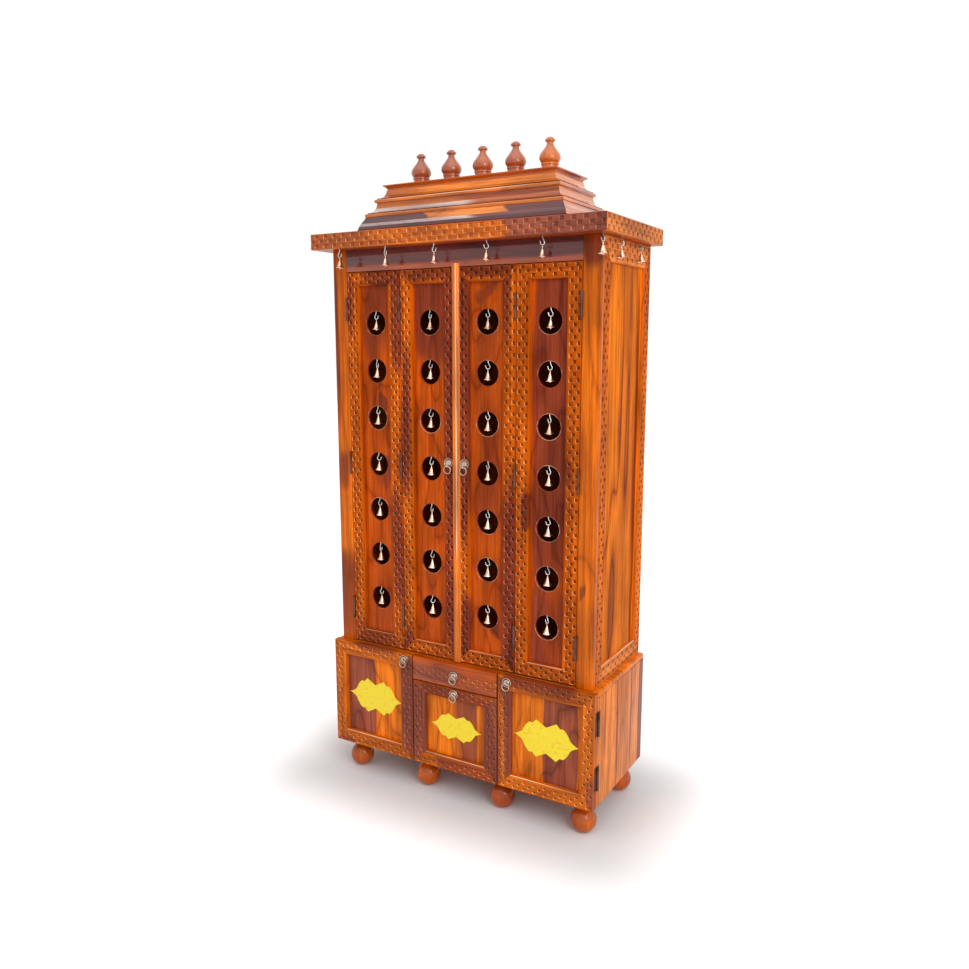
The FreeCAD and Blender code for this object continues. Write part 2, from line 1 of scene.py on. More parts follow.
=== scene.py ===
import math
import bpy
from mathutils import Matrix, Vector


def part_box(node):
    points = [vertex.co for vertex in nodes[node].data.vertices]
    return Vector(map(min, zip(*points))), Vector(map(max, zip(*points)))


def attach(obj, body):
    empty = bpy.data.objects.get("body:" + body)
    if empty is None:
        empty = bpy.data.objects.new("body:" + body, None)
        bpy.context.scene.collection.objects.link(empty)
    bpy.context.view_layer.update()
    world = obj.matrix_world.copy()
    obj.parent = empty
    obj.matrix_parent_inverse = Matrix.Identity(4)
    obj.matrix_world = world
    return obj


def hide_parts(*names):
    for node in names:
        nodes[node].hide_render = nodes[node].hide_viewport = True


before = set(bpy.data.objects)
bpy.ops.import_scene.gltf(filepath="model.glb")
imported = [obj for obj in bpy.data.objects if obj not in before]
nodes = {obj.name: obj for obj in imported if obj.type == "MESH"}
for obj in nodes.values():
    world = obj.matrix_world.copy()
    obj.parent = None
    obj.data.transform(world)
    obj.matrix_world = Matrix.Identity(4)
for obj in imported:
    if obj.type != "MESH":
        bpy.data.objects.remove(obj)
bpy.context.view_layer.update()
print("frame loaded:", len(nodes), "nodes")


# picking and shaping in edit mode
def letGo():
    bpy.ops.object.select_all(action="DESELECT")


def take(obj):
    letGo()
    obj.select_set(True)
    bpy.context.view_layer.objects.active = obj


def openMesh(obj):
    take(obj)
    bpy.ops.object.mode_set(mode="EDIT")


def closeMesh():
    bpy.ops.object.mode_set(mode="OBJECT")


def pickAll():
    bpy.ops.mesh.select_all(action="SELECT")


def closeOutward():
    pickAll()
    bpy.ops.mesh.normals_make_consistent(inside=False)
    closeMesh()


def pick(kind, items, test):
    bpy.ops.mesh.select_mode(type=kind)
    bpy.ops.mesh.select_all(action="DESELECT")
    closeMesh()
    for item in items:
        item.select = bool(test(item))
    bpy.ops.object.mode_set(mode="EDIT")


def pickFaces(obj, test):
    pick("FACE", obj.data.polygons, lambda face: test(face.center, face.normal))


def pickVerts(obj, test):
    pick("VERT", obj.data.vertices, lambda vert: test(vert.co))


def pickEdges(obj, test):
    spots = obj.data.vertices
    pick("EDGE", obj.data.edges, lambda edge: test(*[spots[k].co for k in edge.vertices]))


# gives the picked faces one of the piece's materials
def paintPicked(obj, slot):
    obj.active_material_index = slot
    bpy.ops.object.material_slot_assign()


def paintFaces(obj, slot, test):
    pickFaces(obj, test)
    paintPicked(obj, slot)


def pullPicked(shift=(0, 0, 0)):
    bpy.ops.mesh.extrude_region_move(TRANSFORM_OT_translate={"value": shift})


def near(a, b, slack=1e-5):
    return abs(a - b) < slack


def bevelAll(obj, width, steps):
    take(obj)
    bpy.ops.object.modifier_add(type="BEVEL")
    made = obj.modifiers[-1]
    made.width = width
    made.segments = steps
    made.limit_method = "ANGLE"
    made.angle_limit = math.radians(30)
    bpy.ops.object.modifier_apply(modifier=made.name)


def smooth(obj, angle=35):
    take(obj)
    bpy.ops.object.shade_smooth_by_angle(angle=math.radians(angle))


def settle(obj):
    take(obj)
    bpy.ops.object.transform_apply(location=True, rotation=True, scale=True)


# the object made last, with its place and size settled
def lastMade(*materials):
    piece = bpy.context.active_object
    settle(piece)
    for material in materials:
        piece.data.materials.append(material)
    return piece


def joinUp(name, parts):
    letGo()
    for part in parts:
        part.select_set(True)
    bpy.context.view_layer.objects.active = parts[0]
    if len(parts) > 1:
        bpy.ops.object.join()
    parts[0].name = name
    parts[0].data.name = name
    return parts[0]


def copyOf(obj, name, shift=(0, 0, 0), turn=0):
    twin = obj.copy()
    twin.data = obj.data.copy()
    twin.name = name
    bpy.context.scene.collection.objects.link(twin)
    twin.location = shift
    twin.rotation_euler = (0, 0, math.radians(turn))
    settle(twin)
    return twin


def fitOut(obj, body, slot, *replaced):
    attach(obj, body)
    if replaced:
        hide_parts(*replaced)


# nodes of the materials
# screen colour 0-255 to the linear one that the sockets hold
def tint(r, g, b):
    def one(c):
        c /= 255
        return c / 12.92 if c <= 0.04045 else ((c + 0.055) / 1.055) ** 2.4
    return (one(r), one(g), one(b), 1)


def feed(tree, socket, value):
    if isinstance(value, bpy.types.NodeSocket):
        tree.links.new(value, socket)
    else:
        socket.default_value = value


def fill(tree, node, values):
    for label, value in values.items():
        feed(tree, node.inputs[label], value)


def put(tree, kind, values=None, **settings):
    made = tree.nodes.new(kind)
    for key, value in settings.items():
        setattr(made, key, value)
    fill(tree, made, values or {})
    return made


def calc(tree, operation, *values):
    return put(tree, "ShaderNodeMath", dict(enumerate(values)), operation=operation).outputs[0]


def vecCalc(tree, operation, *values):
    return put(tree, "ShaderNodeVectorMath", dict(enumerate(values)), operation=operation).outputs[0]


# a share of the value on top of a start
def scaled(tree, value, share, start):
    return calc(tree, "ADD", start, calc(tree, "MULTIPLY", value, share))


def blendColor(tree, share, a, b, how="MIX"):
    return put(tree, "ShaderNodeMix", {0: share, 6: a, 7: b}, data_type="RGBA", blend_type=how).outputs[2]


def shaded(tree, color, by):
    return blendColor(tree, 1.0, color, by, "MULTIPLY")


def noiseOf(tree, vector, scale, detail=2.0, roughness=0.5):
    return put(tree, "ShaderNodeTexNoise", {"Vector": vector, "Scale": scale, "Detail": detail,
                                            "Roughness": roughness}).outputs[0]


def stepUp(tree, value, low, high):
    return put(tree, "ShaderNodeMapRange", {"Value": value, "From Min": low, "From Max": high},
               interpolation_type="SMOOTHSTEP").outputs[0]


# pushes a place about by the noise at source, up to half of reach each way
def drifted(tree, place, source, scale, reach):
    noise = put(tree, "ShaderNodeTexNoise", {"Vector": source, "Scale": scale})
    swing = vecCalc(tree, "SUBTRACT", noise.outputs["Color"], (0.5, 0.5, 0.5))
    return vecCalc(tree, "ADD", place, vecCalc(tree, "MULTIPLY", swing, reach))


def newGroup(name, ins, outs):
    tree = bpy.data.node_groups.new(name, "ShaderNodeTree")
    for label, kind, value in ins:
        socket = tree.interface.new_socket(name=label, in_out="INPUT", socket_type="NodeSocket" + kind)
        if value is not None:
            socket.default_value = value
    for label, kind in outs:
        tree.interface.new_socket(name=label, in_out="OUTPUT", socket_type="NodeSocket" + kind)
    return tree, put(tree, "NodeGroupInput"), put(tree, "NodeGroupOutput")


# wood whose fibres run along the third axis of its vector
def makeWoodGrain():
    tree, given, result = newGroup("woodGrain", [
        ("Vector", "Vector", None), ("Light", "Color", None), ("Dark", "Color", None),
        ("Heart", "Float", 0.0), ("Figure", "Float", 0.5), ("Rings", "Float", 16.0), ("Shade", "Float", 1.0),
        ("Stretch", "Float", 0.11), ("Ribbon", "Float", 1.0)],
        [("Color", "Color"), ("Roughness", "Float"), ("Height", "Float")])
    vector = given.outputs["Vector"]
    drawn = put(tree, "ShaderNodeCombineXYZ", {0: 1.0, 1: 1.0, 2: given.outputs["Stretch"]})
    slow = vecCalc(tree, "MULTIPLY", vector, drawn.outputs[0])
    field = noiseOf(tree, slow, 7.0, 1.5, 0.45)
    lines = calc(tree, "PINGPONG", calc(tree, "MULTIPLY", field, given.outputs["Rings"]), 1.0)
    rings = stepUp(tree, lines, 0.35, 1.0)
    thin = stepUp(tree, lines, 0.86, 1.0)
    fibre = noiseOf(tree, vecCalc(tree, "MULTIPLY", vector, (1, 1, 0.025)), 330.0, 3.0, 0.6)
    pores = noiseOf(tree, vecCalc(tree, "MULTIPLY", vector, (1, 1, 0.04)), 620.0, 1.0, 0.5)
    pores = stepUp(tree, pores, 0.62, 0.72)
    cloud = noiseOf(tree, vecCalc(tree, "MULTIPLY", vector, (1, 1, 0.35)), 9.0, 2.0, 0.5)
    strand = noiseOf(tree, vecCalc(tree, "MULTIPLY", vector, (1, 1, 0.03)), 75.0, 2.0, 0.6)
    edge = scaled(tree, calc(tree, "SUBTRACT", field, 0.5), 1.3, given.outputs["Heart"])
    strand = scaled(tree, calc(tree, "SUBTRACT", strand, 0.5), given.outputs["Ribbon"], 0.5)
    edge = scaled(tree, calc(tree, "SUBTRACT", strand, 0.5), 0.7, edge)
    heart = stepUp(tree, edge, 0.26, 0.78)
    base = blendColor(tree, heart, given.outputs["Light"], given.outputs["Dark"])
    warm = blendColor(tree, stepUp(tree, cloud, 0.35, 0.72), (1.2, 1.14, 1.0, 1), (0.74, 0.68, 0.68, 1))
    base = shaded(tree, base, warm)
    ribbon = blendColor(tree, stepUp(tree, strand, 0.3, 0.7), (0.72, 0.66, 0.64, 1), (1.2, 1.2, 1.18, 1))
    base = shaded(tree, base, ribbon)
    figure = calc(tree, "MULTIPLY", given.outputs["Figure"], rings)
    base = blendColor(tree, figure, base, shaded(tree, base, (0.62, 0.5, 0.46, 1)))
    fine = calc(tree, "MULTIPLY", given.outputs["Figure"], thin)
    base = blendColor(tree, fine, base, shaded(tree, base, (0.42, 0.34, 0.36, 1)))
    streaks = blendColor(tree, stepUp(tree, fibre, 0.3, 0.7), (0.8, 0.76, 0.74, 1), (1.14, 1.14, 1.14, 1))
    base = shaded(tree, base, streaks)
    base = blendColor(tree, calc(tree, "MULTIPLY", pores, 0.4), base, (0.02, 0.008, 0.006, 1))
    gray = put(tree, "ShaderNodeCombineColor", {k: given.outputs["Shade"] for k in range(3)})
    height = calc(tree, "SUBTRACT", calc(tree, "MULTIPLY", fibre, 0.6), calc(tree, "MULTIPLY", pores, 0.8))
    fill(tree, result, {"Color": shaded(tree, base, gray.outputs[0]),
                        "Roughness": scaled(tree, fibre, 0.2, 0.3), "Height": height})
    return tree


# a soft-edged box on the object, for the place of a dark board or streak
def makePatchMask():
    tree, given, result = newGroup("patchMask", [
        ("Vector", "Vector", None), ("Centre", "Vector", None), ("Half", "Vector", None),
        ("Strength", "Float", 1.0), ("Soft", "Float", 1.0)], [("Mask", "Float")])
    away = vecCalc(tree, "SUBTRACT", given.outputs["Vector"], given.outputs["Centre"])
    away = vecCalc(tree, "ABSOLUTE", away)
    split = put(tree, "ShaderNodeSeparateXYZ", {0: vecCalc(tree, "DIVIDE", away, given.outputs["Half"])})
    wide = calc(tree, "MAXIMUM", split.outputs[0], split.outputs[1])
    far = calc(tree, "ADD", calc(tree, "POWER", wide, 3.0), calc(tree, "POWER", split.outputs[2], 3.0))
    soft = given.outputs["Soft"]
    fade = stepUp(tree, far, calc(tree, "SUBTRACT", 1.0, calc(tree, "MULTIPLY", soft, 0.92)),
                  scaled(tree, soft, 1.3, 1.0))
    mask = calc(tree, "SUBTRACT", 1.0, fade)
    feed(tree, result.inputs["Mask"], calc(tree, "MULTIPLY", mask, given.outputs["Strength"]))
    return tree


woodGrain = makeWoodGrain()
patchMask = makePatchMask()
print("node groups made")


def newMaterial(name):
    material = bpy.data.materials.new(name)
    material.use_nodes = True
    tree = material.node_tree
    return material, tree, tree.nodes["Principled BSDF"], put(tree, "ShaderNodeTexCoord").outputs["Object"]


def addBump(tree, surface, height, strength, depth):
    bump = put(tree, "ShaderNodeBump", {"Strength": strength, "Distance": depth, "Height": height})
    feed(tree, surface.inputs["Normal"], bump.outputs["Normal"])


# varnished woods, as they look on screen; sheen, copper, cream and the palest grey are the colours of painted
# highlights and painted sheen
woods = {
    "honey": (214, 110, 14), "teak": (208, 97, 5), "orange": (226, 115, 12), "amber": (204, 92, 14),
    "gold": (250, 136, 20), "peach": (240, 140, 44), "salmon": (238, 144, 74), "box": (214, 150, 88),
    "sheen": (252, 186, 120), "cream": (255, 226, 200), "sheenPale": (226, 214, 214), "copper": (214, 136, 104),
    "chestnut": (202, 87, 6), "rust": (186, 82, 24), "bronze": (184, 96, 48), "umber": (158, 82, 60),
    "brown": (154, 69, 31), "plum": (144, 61, 36), "violet": (110, 57, 61), "wine": (104, 40, 38),
    "inside": (86, 42, 20),
}
turnFor = {"Z": (0, 0, 0), "X": (0, math.radians(90), 0), "Y": (math.radians(90), 0, 0)}
paintedInsideShade = 0.55  # of a face towards the inside of the cabinet, darkened as painted shade
patchStretch = 0.16  # of the noise that bends the dark patches, along the fibres


def woodMaterial(name, light, dark, along="Z", patches=(), wobble=0.012, heart=0.0, figure=0.5, rings=16.0,
                 shade=1.0, coat=0.16, gloss=0.07, soft=1.0, stretch=0.16, ribbon=1.0, inner=None):
    material, tree, surface, place = newMaterial(name)
    mask = heart
    if patches:
        drawn = [patchStretch if letter == along else 1.0 for letter in "XYZ"]
        bent = drifted(tree, place, vecCalc(tree, "MULTIPLY", place, drawn), 10.0,
                       [wobble * 3 / part for part in drawn])
        for x0, x1, y0, y1, z0, z1, strength in patches:
            made = put(tree, "ShaderNodeGroup", node_tree=patchMask)
            fill(tree, made, {
                "Vector": bent, "Strength": strength, "Soft": soft,
                "Centre": ((x0 + x1) / 2000, (y0 + y1) / 2000, (z0 + z1) / 2000),
                "Half": ((x1 - x0) / 2000, (y1 - y0) / 2000, (z1 - z0) / 2000)})
            mask = calc(tree, "MAXIMUM", mask, made.outputs["Mask"])
    if inner:
        # the face towards the inside of the cabinet is darkened: a painted shade
        axis, limit = inner
        split = put(tree, "ShaderNodeSeparateXYZ", {0: place})
        outer = stepUp(tree, calc(tree, "ABSOLUTE", split.outputs[axis]), limit - 0.0004, limit + 0.0004)
        shade = scaled(tree, outer, shade - paintedInsideShade, paintedInsideShade)
    turned = put(tree, "ShaderNodeMapping", {"Vector": place, "Rotation": turnFor[along]})
    grain = put(tree, "ShaderNodeGroup", node_tree=woodGrain)
    fill(tree, grain, {
        "Vector": turned.outputs["Vector"], "Light": tint(*woods[light]), "Dark": tint(*woods[dark]),
        "Heart": mask, "Figure": figure, "Rings": rings, "Shade": shade, "Stretch": stretch,
        "Ribbon": ribbon})
    fill(tree, surface, {
        "Base Color": grain.outputs["Color"], "Roughness": grain.outputs["Roughness"],
        "Specular IOR Level": gloss, "Coat Weight": coat, "Coat Roughness": 0.08})
    addBump(tree, surface, grain.outputs["Height"], 0.25, 0.0004)
    return material


wholeWidth, wholeDepth = (-600, 600), (-260, 300)  # past the cabinet both ways, in mm


# patches on the front: x0, x1, z0, z1 in mm and a strength
def onFront(*rows):
    return [(x0, x1, *wholeDepth, z0, z1, strength) for x0, x1, z0, z1, strength in rows]


# the same on the sides: y0, y1, z0, z1
def onSide(*rows):
    return [(*wholeWidth, y0, y1, z0, z1, strength) for y0, y1, z0, z1, strength in rows]


stilePatches = onFront(
    (-425, -392, 1500, 1760, 0.75), (-425, -360, 460, 570, 0.8),
    (-248, -205, 1400, 1780, 0.85), (-258, -205, 640, 1000, 0.6),
    (-204, -168, 1000, 1480, 0.8), (-58, -8, 470, 1780, 1.0),
    (-2, 50, 900, 1780, 1.0), (16, 50, 440, 720, 0.7),
    (160, 188, 1440, 1780, 0.9), (160, 208, 440, 1120, 0.8),
    (226, 256, 930, 1030, 0.9), (368, 396, 1080, 1180, 0.8),
    (-215, -160, 60, 520, 0.95), (186, 212, 80, 500, 0.7), (462, 496, 60, 260, 0.9),
    (-165, -104, 60, 420, 1.0), (104, 165, 60, 420, 1.0))
railPatches = onFront(
    (-372, -195, 1670, 1760, 0.9), (-210, -5, 1690, 1745, 0.7), (-3, 180, 1696, 1760, 0.9),
    (-430, -212, 460, 536, 0.9), (-108, -1, 476, 536, 0.7), (60, 208, 470, 536, 0.5),
    (-160, 160, 350, 400, 0.75), (-60, 170, 90, 158, 0.8), (160, 440, 440, 490, 1.0),
    (-500, -430, 90, 130, 0.6), (230, 380, 90, 120, 0.7))
panelPatches = onFront(
    (-372, -262, 1440, 1800, 0.75), (-310, -276, 1280, 1325, 1.0), (-330, -262, 1000, 1120, 0.55),
    (-372, -262, 430, 1110, 0.4), (-160, -56, 1400, 1800, 0.95), (-140, -80, 430, 760, 0.4),
    (60, 152, 760, 1560, 0.42), (112, 152, 560, 640, 1.0), (60, 150, 1640, 1690, 0.4),
    (262, 378, 760, 1800, 1.05), (262, 378, 430, 780, 0.7))
basePatches = onFront(
    (-460, -327, 60, 520, 1.0), (-325, -190, 60, 520, 0.2), (-8, 80, 60, 440, 0.47), (316, 432, 60, 520, 1.0))


# carved wood comes in three: the face, the floor of the cuts, painted darker as painted shade, and their lit
# edges, painted pale as painted highlight
def carvedWoods(name, light, dark, along, patches, floorPaintedShade, edgePaintedHighlight, **more):
    return (woodMaterial(name, light, dark, along, patches, **more),
            woodMaterial(name + "Floor", light, dark, along, patches, shade=floorPaintedShade, **more),
            woodMaterial(name + "Edge", "sheen", "copper", along, patches, shade=edgePaintedHighlight, **more))


leafStiles = carvedWoods("leafStile", "teak", "plum", "Z", stilePatches, 0.5, 1.1, figure=0.3, rings=22,
                         coat=0.08, gloss=0.03)
leafRails = carvedWoods("leafRail", "teak", "brown", "X", railPatches, 0.5, 1.1, figure=0.3, rings=22,
                        coat=0.08, gloss=0.03)
baseStiles = carvedWoods("baseStile", "honey", "umber", "Z", stilePatches, 0.5, 1.1, figure=0.3, rings=22)
baseRails = carvedWoods("baseRail", "honey", "brown", "X", railPatches, 0.5, 1.1, figure=0.3, rings=22)
drawerWoods = carvedWoods("drawerFront", "amber", "umber", "X", onFront(
    (-175, 60, 405, 475, 0.85), (60, 170, 400, 440, 0.6)), 0.6, 1.1, figure=0.4, rings=20, coat=0.4)
sideStiles = carvedWoods("sideStile", "orange", "brown", "Z", onSide((-150, -120, 1000, 1600, 0.6)), 0.55,
                         0.7, figure=0.35, rings=20, coat=0.06, gloss=0.02)
sideRails = carvedWoods("sideRail", "salmon", "brown", "Y", (), 0.55, 0.8, figure=0.35, rings=20, coat=0.06,
                        gloss=0.02)
corniceFront = carvedWoods("corniceFront", "orange", "umber", "X", onFront(
    (200, 620, 1750, 1890, 1.05), (-560, -300, 1770, 1870, 0.35)), 0.78, 1.0,
    figure=0.35, rings=16, wobble=0.02, coat=0.45)
corniceSide = carvedWoods("corniceSide", "salmon", "brown", "Y", (), 0.66, 0.95, figure=0.35, rings=16,
                          heart=0.2, coat=0.1, gloss=0.04)
leafPanelWood = woodMaterial("leafPanelWood", "chestnut", "plum", "Z", panelPatches, figure=0.5, rings=13,
                             coat=0.1, gloss=0.04, stretch=0.3)
basePanelWood = woodMaterial("basePanelWood", "gold", "umber", "Z", basePatches, wobble=0.003, figure=0.55,
                             rings=15, soft=0.12, stretch=0.35)
frontBoardWood = woodMaterial("frontBoardWood", "orange", "brown", "Z", onFront(
    (-480, -450, 1150, 1800, 0.8), (-480, -425, 980, 1130, 0.8), (-480, -410, 430, 780, 0.8),
    (424, 446, 730, 790, 0.6), (405, 520, 1690, 1860, 0.75)), figure=0.4, rings=14)
headerWood = woodMaterial("headerWood", "rust", "wine", "X", onFront((-620, 520, 1738, 1860, 1.0)),
                          figure=0.4, rings=14, coat=1.0, gloss=0.2)
sidePanelWood = woodMaterial("sidePanelWood", "gold", "brown", "Z", onSide(
    (10, 40, 1050, 1500, 0.55), (145, 165, 500, 1800, 0.75), (-80, -66, 1100, 1500, 0.5),
    (80, 105, 1500, 1800, 0.4)),
    heart=0.16, figure=0.8, rings=12, coat=0.04, gloss=0.01, stretch=0.11, inner=(0, 0.460))
backWood = woodMaterial("backWood", "rust", "brown", "Z", figure=0.4, rings=12, shade=0.75, coat=0.0,
                        inner=(1, 0.2205))
baseInsideWood = woodMaterial("baseInsideWood", "rust", "brown", "Z", figure=0.4, rings=12, shade=0.75,
                              coat=0.0)
boxWood = woodMaterial("boxWood", "box", "amber", "X", figure=0.3, rings=14, coat=0.0)
baseSideWood = woodMaterial("baseSideWood", "salmon", "umber", "Z", onSide(
    (-112, -98, 240, 520, 0.65), (-8, 4, 60, 520, 0.6), (112, 122, 60, 520, 0.65), (190, 260, 60, 520, 1.1)),
    wobble=0.01, figure=0.3, rings=8, coat=0.1, gloss=0.05, soft=0.6, stretch=0.3)
baseTopWood = woodMaterial("baseTopWood", "gold", "brown", "X", figure=0.3, rings=14, coat=0.2)
corniceCoreWood = woodMaterial("corniceCoreWood", "rust", "plum", "X", figure=0.4, rings=14)
roofWood = woodMaterial("roofWood", "peach", "plum", "X", onFront(
    (-480, 40, 1890, 1946, 0.44), (-480, -150, 1946, 1990, 0.34), (-60, 400, 1924, 1940, 0.5)),
    figure=0.4, rings=12, coat=0.9)
# a pale band along the lower tier's hollow: a painted sheen
tierSheenWood = woodMaterial("tierSheenWood", "sheenPale", "bronze", "X", onFront((60, 600, 1800, 2000, 0.95)),
                             heart=0.2, figure=0.2, rings=12, coat=1.0, gloss=0.5)
# the skirt is dark but for a long lens under the tier; the pale band along the lower half of its hollow is a
# painted sheen
skirtWood = woodMaterial("skirtWood", "peach", "violet", "X", onFront(
    (-520, -98, 1800, 1940, 1.1), (182, 600, 1800, 1940, 1.1), (-700, 700, 1800, 1872, 1.1)),
    wobble=0.008, figure=0.35, rings=12, coat=1.0, gloss=0.2, soft=0.3)
skirtSheenWood = woodMaterial("skirtSheenWood", "sheenPale", "violet", "X", onFront(
    (-520, -130, 1800, 1940, 0.5), (60, 600, 1800, 1940, 0.9)),
    figure=0.2, rings=12, coat=1.0, gloss=0.5, soft=0.7)
# paler wood on the roof's ends: a painted reflection
roofSideWoodAndReflection = woodMaterial("roofSideWoodAndReflection", "salmon", "rust", "Y", figure=0.35, rings=12, coat=1.0, gloss=0.5)
# the top of each nose is painted pale: a painted highlight
roofLedgeHighlightWood = woodMaterial("roofLedgeHighlightWood", "gold", "cream", "X", heart=0.5, figure=0.15, rings=10,
                             coat=0.9)
# the step over each nose is painted dark: a painted shade
roofGrooveShadeWood = woodMaterial("roofGrooveShadeWood", "brown", "wine", "X", heart=0.5, figure=0.3, rings=12,
                              shade=0.6)
roofTopWood = woodMaterial("roofTopWood", "honey", "umber", "X", heart=0.4, figure=0.5, rings=12, coat=0.9)
kalashWood = woodMaterial("kalashWood", "gold", "bronze", "Z", onFront(
    (-290, -60, 1980, 2120, 0.85), (-60, 58, 1980, 2120, 1.1), (58, 172, 1980, 2120, 0.75)),
    heart=0.3, figure=0.15, rings=14, coat=1.0, gloss=0.3, ribbon=0.2)
footWood = woodMaterial("footWood", "honey", "rust", "Z", heart=0.55, figure=0.2, rings=14, coat=0.6,
                        ribbon=0.25)
# the meeting strip's wood, with a pale stripe down its flank that is a painted highlight
stripWoodAndHighlight = woodMaterial("stripWoodAndHighlight", "gold", "cream", "Z", onFront((2.5, 6, 820, 1960, 1.1)), wobble=0.0,
                         figure=0.3, rings=18, coat=0.5, soft=0.5)
# pale inner ledges of the bottom rails: a painted highlight
ledgeHighlightWood = woodMaterial("ledgeHighlightWood", "gold", "cream", "X", heart=0.75, figure=0.1, rings=10, coat=0.9)
# pale rims round the holes: a painted highlight
holeEdgeHighlightWood = woodMaterial("holeEdgeHighlightWood", "rust", "cream", "X", heart=0.3, figure=0.1, rings=10, coat=0.9)
# the wood inside is dark, a painted shade for the inside seen through the holes
shadedInsideWood = woodMaterial("shadedInsideWood", "inside", "wine", "Z", heart=0.5, figure=0.4, rings=12, shade=0.9,
                          coat=0.0)
print("wood materials made")


def metalMaterial(name, color, roughness, metallic=1.0, wear=0.15):
    material, tree, surface, place = newMaterial(name)
    scale = 260.0
    speckle = noiseOf(tree, place, scale, 3.0, 0.6)
    stain = noiseOf(tree, place, scale / 9, 2.0, 0.5)
    loss = (1 - wear * 2, 1 - wear * 2.3, 1 - wear * 2.6, 1)
    worn = shaded(tree, tint(*color), loss)
    fill(tree, surface, {
        "Base Color": blendColor(tree, stepUp(tree, stain, 0.35, 0.7), tint(*color), worn),
        "Roughness": scaled(tree, speckle, wear, roughness - wear / 2), "Metallic": metallic})
    addBump(tree, surface, speckle, 0.3, 0.0002)
    return material


nickel = metalMaterial("nickel", (190, 166, 150), 0.22)
darkNickel = metalMaterial("darkNickel", (84, 60, 54), 0.4, wear=0.2)
paleSteel = metalMaterial("paleSteel", (214, 222, 220), 0.24)
bellBrass = metalMaterial("bellBrass", (250, 216, 192), 0.3)
hingeIron = metalMaterial("hingeIron", (112, 72, 62), 0.42, metallic=0.7, wear=0.25)


def plateMaterial():
    material, tree, surface, place = newMaterial("goldPlate")
    # curling lines: contours of a noise whose place is pushed about by a second noise
    field = noiseOf(tree, drifted(tree, place, place, 26.0, (0.05, 0.05, 0.05)), 24.0, 0.0, 0.0)
    lines = calc(tree, "PINGPONG", calc(tree, "MULTIPLY", field, 14.0), 1.0)
    scrolls = stepUp(tree, lines, 0.78, 0.98)
    color = blendColor(tree, calc(tree, "MULTIPLY", scrolls, 0.5), tint(255, 228, 44), tint(244, 178, 30))
    fill(tree, surface, {"Base Color": color, "Roughness": 0.42, "Metallic": 0.15})
    addBump(tree, surface, scrolls, 0.4, 0.0003)
    return material


goldPlate = plateMaterial()


leafCarving = {"pitch": 0.0346, "pit": 0.0136, "rows": 3, "rowStep": 0.0122, "outer": 0.0018, "rim": 0.0003,
               "corner": 0.0030, "wall": 0.0008, "depth": 0.0034, "round": 0.0012}
baseCarving = {"pitch": 0.0360, "pit": 0.0122, "rows": 3, "rowStep": 0.0108, "outer": 0.0034, "rim": 0.0008,
               "corner": 0.0028, "wall": 0.0010, "depth": 0.0032, "round": 0.0014}
sideCarving = {"pitch": 0.0390, "pit": 0.0145, "rows": 3, "rowStep": 0.0134, "outer": 0.0020, "rim": 0.0010,
               "corner": 0.0024, "wall": 0.0009, "depth": 0.0032, "round": 0.0012}
corniceCarving = {"pitch": 0.0360, "pit": 0.0176, "rows": 3, "rowStep": 0.0146, "outer": 0.0026,
                  "rim": 0.0007, "corner": 0.0026, "wall": 0.0013, "depth": 0.0026, "round": 0.0020}


lip = 0.0004  # bevel round the top of a pit
mitreGap = 0.00015  # half of the fine seam where two rails meet


